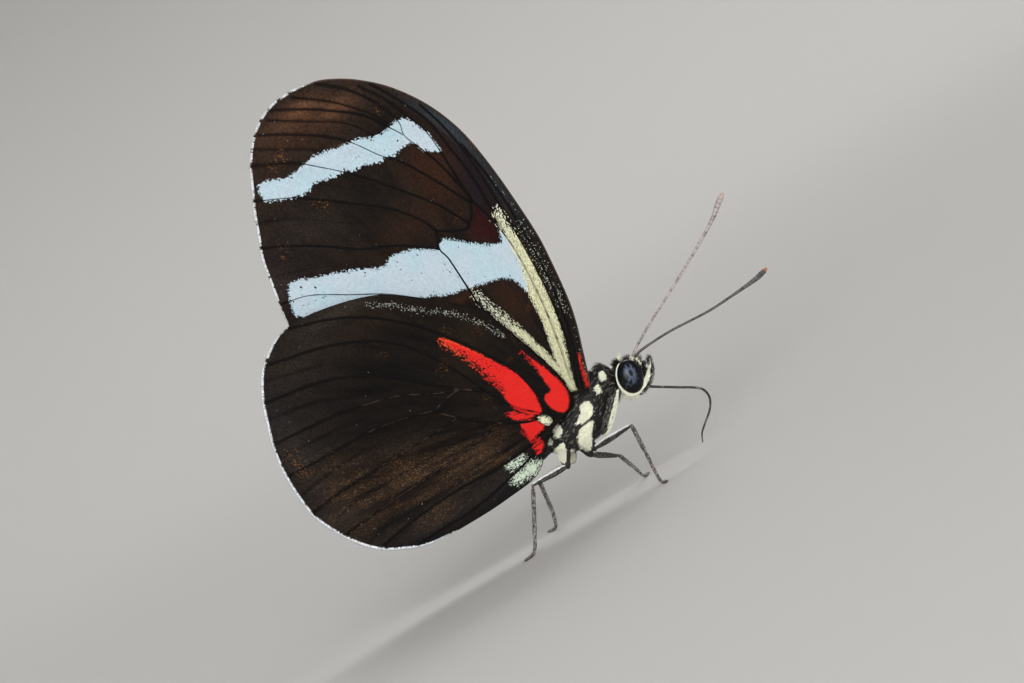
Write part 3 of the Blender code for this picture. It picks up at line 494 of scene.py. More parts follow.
def parting(x, z):
    """How far a wing leans out: it grows with the square of the way from the body."""
    return WING_PARTING * away_from_base(x, z) ** 2 / WING_REACH**2


def forewing_middle(x, z):
    """Distance of the forewing from the middle plane: its own and the parting, and more at the root."""
    root = root_distance(x, z, FOREWING_ROOT)
    return FOREWING_OUT + parting(x, z) + FOREWING_FLARE * bell(root / FLARE_REACH)


def hindwing_middle(x, z):
    """Distance of the hindwing: its own and the parting, and more at the root and round the abdomen."""
    flare = bell(root_distance(x, z, HINDWING_ROOT) / FLARE_REACH)
    along = np.clip((x - BOW_FROM) / BOW_FADE, 0, 1)
    bow = BOW * bell((z - BOW_LEVEL) / BOW_REACH) * along * along * (3 - 2 * along)
    return HINDWING_OUT + parting(x, z) + np.cbrt(flare**3 + bow**3)


WINGS = {
    "forewing": {"rear": FOREWING_REAR, "front": FOREWING_FRONT, "veins": FOREWING_VEINS,
                 "folds": FOREWING_FOLDS, "middle": forewing_middle, "root": FOREWING_ROOT},
    "hindwing": {"rear": HINDWING_REAR, "front": HINDWING_FRONT, "veins": HINDWING_VEINS,
                 "folds": HINDWING_FOLDS, "middle": hindwing_middle, "root": HINDWING_ROOT},
}


def edge_at(points, levels):
    """x of one edge of a wing at each level z, read from a smooth curve through the edge's points."""
    line = smooth_line(points, 0.1)
    rising = np.maximum.accumulate(line[:, 1])
    keep = np.concatenate([[True], np.diff(rising) > 1e-6])
    return np.interp(levels, rising[keep], line[keep, 0])


def wing_grid(kind):
    """Grid (x, z) over a wing: each row is level and runs from the rear edge to the front edge.

    The rows are closer together near the lowest and the highest point, where the outline runs level.
    """
    wing = WINGS[kind]
    low = max(wing["rear"][0][1], wing["front"][0][1])
    high = wing["rear"][-1][1]
    count = int((high - low) / ROW_STEP) + 24
    t = np.linspace(0, 1, count)
    density = np.clip(np.minimum(t, 1 - t) / 0.13, 0.03, 1)
    share = np.concatenate([[0], np.cumsum((density[1:] + density[:-1]) / 2)])
    levels = low + (high - low) * (0.0004 + 0.9992 * share / share[-1])
    rear, front = edge_at(wing["rear"], levels), edge_at(wing["front"], levels)
    across = np.linspace(0, 1, COLUMNS[kind])
    x = rear[:, None] + (front - rear)[:, None] * across
    return x, np.repeat(levels[:, None], len(across), axis=1)


def wing_rim(kind):
    """The closed outline of a wing, from the foot of the rear edge up it and down the front edge."""
    wing = WINGS[kind]
    rear = smooth_line(wing["rear"], 0.25)
    front = smooth_line(wing["front"], 0.25)[::-1]
    return np.vstack([rear, front[1:], rear[:1]])


def wing_rim_distance(kind, flat):
    """How far places of a wing are from its outline."""
    return line_distance(flat, wing_rim(kind)[::2])


def pleat_share(rim):
    """How much of the pleats is left at so many millimetres from a wing's outline."""
    return np.clip(rim / PLEAT_FADE, 0.3, 1)


def shades(flat, patches):
    """How strong each soft colour is: the sum of its patches, each strength times bell x times bell z."""
    x, z = flat.T
    return {name: sum(weight * bell((x - a) / h) * bell((z - b) / k) for a, b, h, k, weight in blobs)
            for name, blobs in patches.items()}


def forewing_marks(flat):
    """Depths in each mark of the forewing's underside."""
    x, z = flat.T
    dotted = np.maximum(COSTA_SPECKS_WIDTH - nearest_line(flat, [COSTA_SPECKS]),
                        COSTA_DOTS_WIDTH - nearest_line(flat, [COSTA_DOTS]))
    return {
        **shades(flat, FOREWING_SHADES),
        "white": deepest(flat, [OUTER_BAND, INNER_BAND]),
        "yellow": deepest(flat, [CELL_STREAK, STEM_STREAK]),
        "red": patch_depth(flat, COSTA_RED, 0.2) - 0.10,
        "specks": dotted,
        "maroon": patch_depth(flat, MAROON),
        "thin": np.clip((z - np.where(x < 8.6, 15.5, 22.2)) / 3.6, 0, 1),
    }


def hindwing_marks(flat):
    """Depths in each mark of the hindwing's underside."""
    return {
        **shades(flat, HINDWING_SHADES),
        "white": deepest(flat, ANAL_CREAM, 0.2),
        "yellow": patch_depth(flat, HIND_TUFT, 0.2),
        "red": deepest(flat, [FAN_RED, WEDGE_RED, ANAL_RED, *STRIPES_RED, ROOT_RED], 0.2),
        "specks": HIND_SPECKS_WIDTH - nearest_line(flat, [HIND_SPECKS]),
    }


MARKS = {"forewing": forewing_marks, "hindwing": hindwing_marks}


def wing_fields(kind):
    """What both sides of a wing share: its grid, its middle, its thickness and pleats, and its marks."""
    wing = WINGS[kind]
    x, z = wing_grid(kind)
    flat = np.stack([x.ravel(), z.ravel()], axis=1)
    rim = wing_rim_distance(kind, flat)
    vein = nearest_line(flat, wing["veins"].values())
    fold = nearest_line(flat, wing["folds"])
    front = line_distance(flat, smooth_line(wing["front"], 0.5))
    thickness = RIM_THICKNESS + (MEMBRANE - RIM_THICKNESS) * np.clip(rim / RIM_FADE, 0, 1)
    if kind == "forewing":
        costa = bell(front / COSTA_REACH) * np.clip((COSTA_TOP - flat[:, 1]) / COSTA_FADE, 0.12, 1)
        thickness = thickness + (COSTA_THICKNESS - thickness) * costa
    thickness = thickness + ROOT_THICKNESS * bell(line_distance(flat, np.array(wing["root"])) / ROOT_REACH)
    pleat = PLEAT * (bell(vein / VEIN_REACH) - bell(fold / FOLD_REACH)) * pleat_share(rim)
    ahead, above = (flat - FAN_CENTRE).T
    values = {"vein": vein, "fold": fold, "rim": rim, "front": front,
              "around": np.arctan2(above, ahead) * FAN_SPREAD, "reach": np.hypot(ahead, above),
              **MARKS[kind](flat)}
    return {"x": x, "z": z, "middle": wing["middle"](x, z) + pleat.reshape(x.shape),
            "thickness": thickness.reshape(x.shape), "values": values}


def wing_piece(kind, word, fields, material):
    """A closed sheet: its outer and inner faces stand half its thickness to both sides of its middle."""
    side = SIDES[word]
    x, z = fields["x"], fields["z"]
    rows, columns = x.shape
    count = x.size
    sheets = [np.stack([x, side * (fields["middle"] + half), z], axis=-1).reshape(-1, 3)
              for half in (fields["thickness"] / 2, -fields["thickness"] / 2)]
    face = grid_faces(rows, columns)
    place = np.arange(count).reshape(rows, columns)
    edge = np.concatenate([place[0], place[1:, -1], place[-1, -2::-1], place[-2:0:-1, 0]])
    after = np.roll(edge, -1)
    rim = np.stack([after, edge, edge + count, after + count], axis=1)
    faces = np.vstack([face, face[:, ::-1] + count, rim])
    if side > 0:
        faces = faces[:, ::-1]
    piece = link_mesh(f"{kind}_scales_{word}", np.vstack(sheets), [faces])
    carry(piece, **{name: np.tile(v, 2) for name, v in fields["values"].items()},
          under=np.repeat([1.0, 0.0], count))
    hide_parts(f"{kind}_{word}")
    return finish_with(piece, material)


def vein_tubes(kind, word, material):
    """Round veins in the middle of the membrane that stand out of both its faces, finer to the margin."""
    wing = WINGS[kind]
    tubes = []
    for line in wing["veins"].values():
        flat = smooth_line(line, 0.3)
        x, z = flat.T
        radius = np.clip(VEIN_RADIUS - away_from_base(x, z) * VEIN_TAPER, *VEIN_LIMITS) * VEIN_SCALE[kind]
        radius[-1] *= 0.5
        middle = wing["middle"](x, z) + PLEAT * pleat_share(wing_rim_distance(kind, flat))
        tubes.append(tube_rings(np.stack([x, SIDES[word] * middle, z], axis=1), radius, 8))
    piece, points = tube_piece(f"{kind}_veins_{word}", tubes)
    flat = points[:, [0, 2]]
    marks = MARKS[kind](flat)
    carry(piece, **{name: marks[name] for name in ("white", "yellow", "red")},
          tan=np.clip((0.3 - nearest_line(flat, RUBBED)) * 4, 0, 1), reach=away_from_base(*flat.T),
          bold=0.3 - line_distance(flat, smooth_line(wing["veins"]["cubitus"], 0.5)))
    return finish_with(piece, material)


def scatter_tufts(name, root, lie, up, length, width, bend, tint, unwrap, material):
    """Tufts as closed slivers: a triangle at the root, a smaller one at the middle, and a point at the tip.

    root, lie, up and unwrap have one row for each tuft. A tuft leaves along lie and bends towards bend, and
    its flat side faces up. unwrap is the root's place on the skin's own unwrap.
    """
    count = len(root)
    length, width = (np.broadcast_to(size, count)[:, None] for size in (length, width))
    across = unit(np.cross(lie, up))
    half, rise = across * width / 2, up * width * TUFT_RIDGE
    base = root - lie * length * TUFT_SINK
    middle = root + lie * length * 0.5 + bend * length * MIDDLE_BEND
    tip = root + lie * length * 0.95 + bend * length * TIP_BEND
    points = np.stack([base - half, base + half, base + rise, middle - half * TUFT_TAPER,
                       middle + half * TUFT_TAPER, middle + rise * TUFT_TAPER, tip], axis=1)
    start = (np.arange(count) * 7)[:, None]
    quads = np.vstack([start + (0, 1, 4, 3), start + (1, 2, 5, 4), start + (2, 0, 3, 5)])
    threes = np.vstack([start + (0, 2, 1), start + (3, 4, 6), start + (4, 5, 6), start + (5, 3, 6)])
    inwards = np.einsum("ij,ij->i", np.cross(across, lie), up) < 0
    if inwards.mean() > 0.5:
        quads, threes = quads[:, ::-1], threes[:, ::-1]
    piece = link_mesh(name, points.reshape(-1, 3), [quads, threes])
    carry(piece, tint=np.repeat(np.broadcast_to(tint, count), 7),
          tone=np.repeat(np.random.default_rng(count).random(count), 7))
    corner = np.zeros(len(piece.data.loops), np.int32)
    piece.data.loops.foreach_get("vertex_index", corner)
    layer = piece.data.uv_layers.new(name="OFBake")
    layer.data.foreach_set("uv", (unwrap[corner // 7] + TUFT_PATCH[corner % 7]).astype(np.float32).ravel())
    return finish_with(piece, material)


# The fringe: its ends, a place that it points away from, the seed, and where dark veins break it
FRINGE_STEP = 0.015
FRINGE_LENGTHS, FRINGE_WIDTH = (0.22, 0.29), 0.08
FRINGE_SINK, FRINGE_BREAK, FRINGE_FADE = 0.07, 0.15, 2.5
FRINGE = {
    "forewing": {"from": (-8.0, 25.7), "to": (3.7, 41.35), "middle": (0.0, 22.0), "seed": 11,
                 "breaks": ((-5.4, 35.5), (-6.8, 32.0), (-7.75, 27.5), (-4.2, 38.1), (-2.7, 40.0),
                            (-7.3, 29.6), (-6.0, 33.9), (-3.5, 39.0), (-1.7, 40.8), (-0.7, 41.2),
                            (0.3, 41.5), (1.3, 41.6))},
    "hindwing": {"from": (-4.5, 4.58), "to": (-8.2, 25.4), "middle": (-3.0, 14.0), "seed": 12,
                 "breaks": ((-10.9, 24.0),)},
}


def fringe(kind, word, material):
    """The white fringe along the outer margin, each of its scales a sliver that points away from the wing."""
    side = SIDES[word]
    rule = FRINGE[kind]
    rng = np.random.default_rng(rule["seed"])
    loop = wing_rim(kind)[:-1]
    first, last = (int(np.argmin(np.hypot(*(loop - rule[end]).T))) for end in ("from", "to"))
    run = loop[first:last + 1]
    away = way_along(run)
    count = int(away[-1] / FRINGE_STEP)
    at = np.sort(rng.uniform(0, away[-1], count))
    x, z = (np.interp(at, away, run[:, k]) for k in (0, 1))
    tangent = unit(np.stack([np.interp(at, away, np.gradient(run[:, k])) for k in (0, 1)], axis=1))
    normal = np.stack([-tangent[:, 1], tangent[:, 0]], axis=1)
    outwards = np.einsum("ij,ij->i", normal, np.stack([x, z], axis=1) - rule["middle"])
    normal *= np.sign(outwards)[:, None]
    y = side * (WINGS[kind]["middle"](x, z) + rng.normal(0, 0.018, count))
    sway = rng.normal(0, 0.15, count)
    lie = unit(np.stack([normal[:, 0] + tangent[:, 0] * sway, rng.normal(0, 0.06, count),
                         normal[:, 1] + tangent[:, 1] * sway], axis=1))
    root = np.stack([x - normal[:, 0] * FRINGE_SINK, y, z - normal[:, 1] * FRINGE_SINK], axis=1)
    gap = np.min([np.hypot(x - b[0], z - b[1]) for b in rule["breaks"]], axis=0)
    tint = gap > FRINGE_BREAK + rng.normal(0, 0.05, count)
    ends = np.clip(np.minimum(at, away[-1] - at) / FRINGE_FADE, 0.35, 1)
    ends *= 0.72 + 0.28 * np.clip(gap / 0.9, 0, 1)
    up = np.tile((0.0, side, 0.0), (count, 1))
    unwrap = np.stack([0.02 + 0.96 * at / away[-1], rng.uniform(0.02, 0.98, count)], axis=1)
    length = rng.uniform(*FRINGE_LENGTHS, count) * ends
    return scatter_tufts(f"{kind}_fringe_{word}", root, lie, up, length, FRINGE_WIDTH, 0.0, tint, unwrap,
                         material)


# Body: one skin from the abdomen's tip to the face, by stations: x, z of the middle, half width, half height
BODY = (
    (-8.15, 6.15, 0.18, 0.2), (-7.8, 6.15, 0.52, 0.58), (-6.5, 6.17, 0.86, 0.92), (-4.0, 6.22, 1.03, 1.1),
    (-1.5, 6.32, 1.06, 1.13), (1.0, 6.45, 1.0, 1.07), (3.0, 6.65, 0.9, 0.98), (4.6, 6.85, 0.74, 0.85),
    (5.15, 7.0, 0.72, 0.88), (5.6, 7.05, 1.0, 1.26), (6.3, 7.15, 1.35, 1.75), (7.3, 7.4, 1.58, 2.2),
    (8.4, 7.75, 1.7, 2.5), (9.5, 8.05, 1.7, 2.45), (10.4, 8.3, 1.48, 2.15), (11.0, 8.5, 1.14, 1.7),
    (11.25, 8.62, 1.04, 1.48), (11.6, 8.8, 1.12, 1.55), (12.0, 8.85, 1.05, 1.5), (12.35, 8.75, 0.82, 1.18),
    (12.6, 8.62, 0.62, 0.95), (12.85, 8.5, 0.74, 1.15), (13.2, 8.45, 0.84, 1.34), (13.7, 8.45, 0.87, 1.4),
    (14.2, 8.45, 0.82, 1.3), (14.6, 8.42, 0.66, 1.08), (14.87, 8.42, 0.42, 0.72), (15.0, 8.4, 0.16, 0.3),
)
BODY_SIDES = 72
ABDOMEN_SEGMENTS, PINCH = 8, 0.16
NARROWING, NARROW_AT, NARROW_REACH = 0.22, 8.3, 2.6

# Cream marks of the body, as (x, z)
CHEST_PATCHES = (
    ((9.0, 8.3), (9.4, 8.45), (9.75, 8.35), (9.85, 7.9), (9.5, 7.22), (8.4, 7.05), (8.05, 7.2), (8.3, 7.5),
     (8.8, 7.85)),
    ((9.3, 6.8), (8.95, 6.2), (8.55, 5.7), (8.15, 5.15), (7.8, 4.8), (7.48, 5.0), (7.46, 5.6), (7.58, 6.2),
     (8.0, 6.66), (8.7, 6.85)),
    ((5.55, 9.15), (6.0, 9.1), (6.35, 8.6), (6.2, 8.25), (5.8, 8.6)),
    ((6.59, 8.0), (6.85, 7.65), (6.67, 7.2), (6.28, 6.95), (6.02, 7.12), (6.15, 7.57)),
    ((5.15, 7.0), (5.4, 7.3), (5.7, 7.1), (5.6, 6.75), (5.3, 6.7)),
    ((6.2, 6.45), (6.4, 6.2), (6.05, 5.5), (5.85, 5.1), (5.5, 5.1), (5.35, 5.6), (5.45, 6.2)),
    ((6.6, 5.6), (6.8, 5.3), (6.6, 4.8), (6.2, 4.2), (5.95, 4.5), (6.2, 5.1)),
    ((10.6, 8.75), (10.75, 9.05), (11.05, 9.1), (11.2, 8.8), (11.05, 8.5), (10.7, 8.45)),
    ((11.45, 9.45), (11.6, 9.75), (11.9, 9.8), (12.05, 9.5), (11.95, 9.15), (11.6, 9.1)),
)

# Its hair: how much, the x where chest, collar and head begin, and how far it stands up and how long it is
BODY_HAIRS = 17000
CHEST_FROM, COLLAR_FROM, HEAD_FROM = 5.0, 11.1, 12.8
HAIR_LIFTS, CHEST_LIFT = (0.75, 0.65, 0.10), 0.28  # of head, collar and abdomen, and of the chest
HAIR_LENGTHS, CHEST_LENGTH = (0.36, 0.72, 0.26), 0.50


def body_rings():
    """Rings round the body: half width times cos a (1 - w sin a), and half height times sin a.

    w makes the chest narrower on top, and the abdomen is pinched between its segments.
    """
    x, z, half_width, half_height = smooth_line(BODY, 0.07).T
    segment = np.clip(np.cos((x + 8.0) / 13.0 * ABDOMEN_SEGMENTS * 2 * math.pi), 0.6, 1) - 0.6
    pinch = 1 - PINCH * segment * (x < 4.9) * (x > -7.6)
    waist = NARROWING * bell((x - NARROW_AT) / NARROW_REACH)
    angle = ring_angles(BODY_SIDES)
    y = (half_width * pinch)[:, None] * np.cos(angle) * (1 - waist[:, None] * np.sin(angle))
    rise = (half_height * pinch)[:, None] * np.sin(angle)
    return np.stack([np.repeat(x[:, None], BODY_SIDES, axis=1), y, z[:, None] + rise], axis=-1)


def body_cream(points):
    """Depth in the cream marks of the body, seen from either side."""
    return deepest(points[:, [0, 2]], CHEST_PATCHES, 0.2)


def body_skin(material):
    """The skin under the hair, from the tip of the abdomen to the face."""
    piece, points = tube_piece("body_skin", [body_rings()])
    carry(piece, cream=body_cream(points))
    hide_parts("thorax", "prothorax", "abdomen", "head")
    return finish_with(piece, material)


def surface_samples(rings, count, rng, weight=None):
    """Places spread over a ringed surface in proportion to area, times weight where there is one.

    Gives their points, their outward normals, the way from ring to ring, and their places on the unwrap.
    """
    rows, columns = rings.shape[:2]
    after = np.roll(rings, -1, axis=1)
    corner = np.stack([rings[:-1], after[:-1], after[1:], rings[1:]], axis=2)
    run, turn = corner[:, :, 3] - corner[:, :, 0], corner[:, :, 1] - corner[:, :, 0]
    normal = np.cross(turn, run)
    area = np.linalg.norm(normal, axis=-1)
    middle = corner.mean(axis=2)
    chance = (area * weight(middle) if weight else area).ravel()
    pick = rng.choice(len(chance), count, p=chance / chance.sum())
    u, v = rng.random((2, count, 1))
    c = corner.reshape(-1, 4, 3)[pick]
    points = (c[:, 0] * (1 - u) + c[:, 1] * u) * (1 - v) + (c[:, 3] * (1 - u) + c[:, 2] * u) * v
    normal, run = (unit(way.reshape(-1, 3)[pick]) for way in (normal, run))
    row, column = pick // columns, pick % columns
    outside = np.einsum("ij,ij->i", normal, points - middle.mean(axis=1)[row])
    normal *= np.sign(outside)[:, None]
    unwrap = 0.01 + 0.98 * np.stack([(row + v[:, 0]) / (rows - 1), (column + u[:, 0]) / columns], axis=1)
    return points, normal, run, unwrap


def clear_of_eyes(points):
    """False where an eye stands, so that no hair grows through it."""
    local = (points - EYE_CENTRE) / (EYE_RADII[0] + EYE_CLEARANCE, 1.0, EYE_RADII[2] + EYE_CLEARANCE)
    return np.hypot(local[:, 0], local[:, 2]) > 1.0


def body_coat(material):
    """Short dark hair that lies backwards, cream in the marks, longer on chest and collar, up on the head."""
    rng = np.random.default_rng(21)

    def weight(p):
        x = p[..., 0]
        return np.where(x < CHEST_FROM, 0.5, np.where(x > 12.7, 1.8, 1.3))

    points, normal, run, unwrap = surface_samples(body_rings(), BODY_HAIRS, rng, weight)
    keep = clear_of_eyes(points) | (np.abs(normal[:, 1]) < 0.35)
    points, normal, run, unwrap = (field[keep] for field in (points, normal, run, unwrap))
    x = points[:, 0]
    count = len(points)
    depth = body_cream(points)
    pale = (depth > rng.normal(0, 0.05, count)) & (np.abs(normal[:, 1]) > 0.15)
    head, collar, tail = x > HEAD_FROM, (x > COLLAR_FROM) & (x <= HEAD_FROM), x < CHEST_FROM
    above = np.clip(normal[:, 2], 0, 1)
    lift = np.select([head, collar, tail], HAIR_LIFTS, CHEST_LIFT + 0.3 * above)
    lift = np.where(pale, 0.16, lift) + rng.normal(0, 0.06, count)
    lie = -run + normal * lift[:, None] + rng.normal(0, 0.16, (count, 3))
    lie[head] = run[head] * 0.25 + normal[head] * 0.9 + rng.normal(0, 0.2, (head.sum(), 3))
    length = np.select([head, collar, tail], HAIR_LENGTHS, CHEST_LENGTH + 0.35 * above)
    length *= rng.uniform(0.6, 1.25, count)
    length = np.where(pale, 0.26, length * np.clip(-depth / 0.7, 0.45, 1))
    width = np.select([pale, tail], [0.10, 0.06], 0.042) * rng.uniform(0.8, 1.2, count)
    bend = -normal * 0.4 + np.array((-0.25, 0.0, -0.2)) * (~head)[:, None]
    silver = (rng.random(count) < 0.08) * 0.45
    return scatter_tufts("body_coat", points, unit(lie), normal, length, width, bend,
                         np.maximum(pale, silver), unwrap, material)


# Clusters of longer scales on the head: root, direction, reach across, length, how many, and how cream
HEAD_TUFTS = (
    ((13.62, 0.42, 9.8), (0.1, 0.35, 1.0), 0.14, 0.6, 90, 1.0),
    ((14.42, 0.48, 9.32), (0.3, 0.25, 1.0), 0.14, 0.45, 70, 1.0),
    ((14.72, 0.52, 9.1), (0.45, 0.3, 0.85), 0.06, 0.36, 40, 1.0),
    ((14.8, 0.5, 8.88), (0.45, 0.3, 0.85), 0.06, 0.34, 40, 1.0),
    ((14.82, 0.48, 8.66), (0.4, 0.3, 0.85), 0.06, 0.32, 36, 1.0),
    ((14.78, 0.28, 9.05), (0.9, 0.1, 0.7), 0.2, 0.62, 70, 0.22),
    ((15.0, 0.3, 8.6), (1.0, 0.1, 0.5), 0.22, 0.5, 40, 0.0),
    ((13.2, 0.3, 9.65), (-0.4, 0.15, 1.0), 0.25, 0.5, 90, 0.0),
    ((13.42, 0.66, 6.78), (-0.4, 0.2, -0.9), 0.14, 0.52, 24, 0.9),
    ((12.98, 0.66, 6.98), (-0.5, 0.2, -0.9), 0.14, 0.56, 26, 0.9),
    ((12.6, 0.62, 7.28), (-0.6, 0.25, -0.8), 0.14, 0.5, 22, 0.9),
)


def head_tufts(word, material):
    """The tufts round the feelers and under the eye, each fanned out from its root."""
    side = SIDES[word]
    rng = np.random.default_rng(71)
    rows = []
    for index, (root, way, across, length, count, cream) in enumerate(HEAD_TUFTS):
        start = mirrored(root, side) + rng.normal(0, across / 2, (count, 3))
        lie = unit(mirrored(way, side)) + rng.normal(0, 0.20, (count, 3))
        column = rng.uniform(0.05, 0.95, count)
        row = (index + rng.uniform(0.1, 0.9, count)) / len(HEAD_TUFTS)
        rows.append((start, lie, length * rng.uniform(0.6, 1.1, count), np.full(count, cream),
                     np.stack([column, row], axis=1)))
    start, lie, length, cream, unwrap = gathered(rows)
    lie = unit(lie)
    up = unit(np.cross(lie, (0.3, 0.2, 0.1)))
    scatter_tufts(f"head_tufts_{word}", start, lie, up, length, np.where(cream > 0.5, 0.06, 0.035), 0.0,
                  cream, unwrap, material)


# Eyes, and the ring of cream scales round each: its width at so many degrees, and how many tufts
EYE_CENTRE = np.array((13.63, 0.86, 8.31))
EYE_RADII = (1.07, 0.74, 1.39)
EYE_TILT = math.radians(10.0)
EYE_TURN = math.radians(12.0)
RIM_TURNS = (122, 140, 180, 215, 240, 270, 300, 340)
RIM_WIDTHS = (0.03, 0.04, 0.05, 0.11, 0.15, 0.1, 0.12, 0.14)
RIM_TUFTS, RIM_LENGTHS = 2400, (0.12, 0.19)
EYE_ROWS, EYE_COLUMNS = 90, 128
EYE_INNER_SHARE = 0.46  # its depth inwards, as a share of its depth outwards
EYE_CLEARANCE = 0.04


def turned(a, b, angle):
    """Two coordinates turned about the axis of the third."""
    return a * math.cos(angle) + b * math.sin(angle), b * math.cos(angle) - a * math.sin(angle)


def eye_frame(local, side):
    """Points from the eye's own axes to the animal's: leaned about Y, turned about Z, moved to its centre."""
    x, y, z = np.moveaxis(local, -1, 0)
    x, z = turned(x, z, EYE_TILT)
    x, y = turned(x, y, EYE_TURN)
    return mirrored(np.stack([x, y, z], axis=-1) + EYE_CENTRE, side)


def eye_piece(word, material):
    """An ellipsoid (a sin p cos q, -b cos p, c sin p sin q), flatter on its inner side."""
    p = (np.arange(EYE_ROWS) + 0.5) * math.pi / EYE_ROWS
    q = ring_angles(EYE_COLUMNS)
    a, b, c = EYE_RADII
    y = -b * np.cos(p)
    y = np.where(y < 0, y * EYE_INNER_SHARE, y)
    local = np.stack([a * np.sin(p)[:, None] * np.cos(q), np.repeat(y[:, None], EYE_COLUMNS, axis=1),
                      c * np.sin(p)[:, None] * np.sin(q)], axis=-1)
    piece, _ = tube_piece(f"eye_ball_{word}", [eye_frame(local, SIDES[word])])
    flat = closed_tube(local)[0]
    carry(piece, eye_x=flat[:, 0], eye_z=flat[:, 2])
    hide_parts(f"eye_{word}")
    return finish_with(piece, material)


def eye_rim(word, coat):
    """The ring of cream scales: tufts in a band round the eye, with none at its upper front."""
    side = SIDES[word]
    rng = np.random.default_rng(31)
    turn = rng.uniform(math.radians(RIM_TURNS[0]), math.radians(RIM_TURNS[-1]), RIM_TUFTS)
    a, _, c = EYE_RADII
    out = 1.01 + rng.random(RIM_TUFTS) * np.interp(np.degrees(turn), RIM_TURNS, RIM_WIDTHS)
    local = np.stack([a * out * np.cos(turn), 0.08 - 1.5 * (out - 1), c * out * np.sin(turn)], axis=1)
    step = np.stack([-np.sin(turn) * 0.1, np.zeros(RIM_TUFTS), np.cos(turn) * 0.1], axis=1)
    root = eye_frame(local, side)
    ahead = unit(eye_frame(local + step, side) - root)
    outer = unit(eye_frame(local * (1.1, 1.0, 1.1), side) - root)
    up = unit(np.array((0.0, side, 0.0)) * 0.8 + outer * 0.5)
    lie = unit(outer * 0.15 - ahead * 0.9 + rng.normal(0, 0.07, (RIM_TUFTS, 3)))
    row = 0.9 + 0.05 * rng.random(RIM_TUFTS)
    unwrap = np.stack([row, 0.05 + 0.9 * (turn - turn.min()) / np.ptp(turn)], axis=1)
    length = rng.uniform(*RIM_LENGTHS, RIM_TUFTS)
    return scatter_tufts(f"eye_rim_{word}", root, lie, up, length, CREAM_WIDTH, 0.0, 1.0, unwrap, coat)


# Palps, tongue, feelers

PALP_PATH = (
    (13.3, 0.5, 6.95), (13.9, 0.54, 6.92), (14.7, 0.53, 7.35), (15.3, 0.48, 7.95), (15.55, 0.42, 8.4),
    (15.72, 0.36, 8.8),
)
PALP_RADII = (0.14, 0.22, 0.26, 0.22, 0.13, 0.04)
PALP_HAIRS = 2300
TONGUE_PATH = (
    (14.0, 0.0, 7.3), (14.5, 0.0, 6.86), (16.4, 0.0, 5.68), (17.7, 0.0, 4.9), (18.25, 0.0, 4.35),
    (18.32, 0.0, 3.55), (17.85, 0.0, 2.75), (17.05, 0.0, 2.05), (16.4, 0.0, 1.45), (16.05, 0.0, 0.75),
)
TONGUE_RADII = (0.13, 0.11, 0.1, 0.1, 0.1, 0.095, 0.09, 0.085, 0.08, 0.045)
FEELER_PATHS = {
    "right": ((14.4, -0.42, 9.3), (15.05, -0.48, 9.95), (17.2, -0.75, 11.25), (20.4, -1.15, 12.95),
              (23.6, -1.5, 14.75), (25.6, -1.75, 16.0), (26.5, -1.85, 16.75), (27.35, -1.92, 17.4)),
    "left": ((14.4, 0.42, 9.2), (15.0, 0.55, 9.5), (15.8, 0.78, 9.66), (18.3, 1.85, 9.73), (21.7, 3.5, 9.5),
             (24.0, 4.65, 9.55), (26.4, 5.9, 9.7), (27.3, 6.42, 9.85), (27.85, 6.76, 9.98)),
}
FEELER_WAY = (0.0, 0.15, 0.5, 0.7, 0.8, 0.88, 0.94, 0.975, 1.0)
FEELER_RADII = (0.13, 0.11, 0.108, 0.12, 0.15, 0.2, 0.24, 0.235, 0.1)
FEELER_JOINT, JOINT_FLARE = 0.36, 0.07
FEELER_SIDES = 14


def palp(word, skin, coat):
    """A palp bent up in front of the face: a tapered stem, cream beside the eye, with a brush of hair."""
    side = SIDES[word]
    rng = np.random.default_rng(41)
    path = smooth_line(mirrored(PALP_PATH, side), 0.06)
    rings = tube_rings(path, spread(PALP_RADII, len(path)), 20)
    stem, _ = tube_piece(f"palp_stem_{word}", [rings])
    carry(stem, cream=-1.0)
    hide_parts(f"palp_{word}")
    finish_with(stem, skin)
    roots, normal, run, unwrap = surface_samples(rings, PALP_HAIRS, rng)
    band = (normal @ (-0.82, side * 0.30, 0.49) > 0.12) & (roots[:, 2] < 8.25)
    pale = band | (rng.random(PALP_HAIRS) < 0.14)
    lie = unit(run + normal * np.where(band, 0.15, 0.75)[:, None] + rng.normal(0, 0.15, normal.shape))
    length = np.where(band, 0.2, rng.uniform(0.2, 0.46, PALP_HAIRS))
    scatter_tufts(f"palp_coat_{word}", roots, lie, normal, length, np.where(band, CREAM_WIDTH, 0.034),
                  run * 0.4, pale, unwrap, coat)


def tongue(material):
    """The tongue, a thin tube that leaves under the face and bends down."""
    path = smooth_line(TONGUE_PATH, 0.08)
    piece, _ = tube_piece("tongue", [tube_rings(path, spread(TONGUE_RADII, len(path)), 16)])
    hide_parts("proboscis")
    return finish_with(piece, material)


def feeler(word, material):
    """A feeler of some forty short joints, each a little wider at its end, with a club at the tip."""
    path = smooth_line(FEELER_PATHS[word], 0.05)
    away = way_along(path)
    share = away / away[-1]
    joint = (away / FEELER_JOINT) % 1.0
    radius = np.interp(share, FEELER_WAY, FEELER_RADII) * (0.95 + JOINT_FLARE * joint)
    piece, _ = tube_piece(f"feeler_{word}", [tube_rings(path, radius, FEELER_SIDES)])
    carry(piece, along=np.append(np.repeat(share, FEELER_SIDES), (0.0, 1.0)),
          joint=np.append(np.repeat(joint, FEELER_SIDES), (0.0, 0.0)))
    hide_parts(f"antenna_{word}")
    return finish_with(piece, material)


# Legs, as coxa, trochanter, knee, ankle, heel, toe

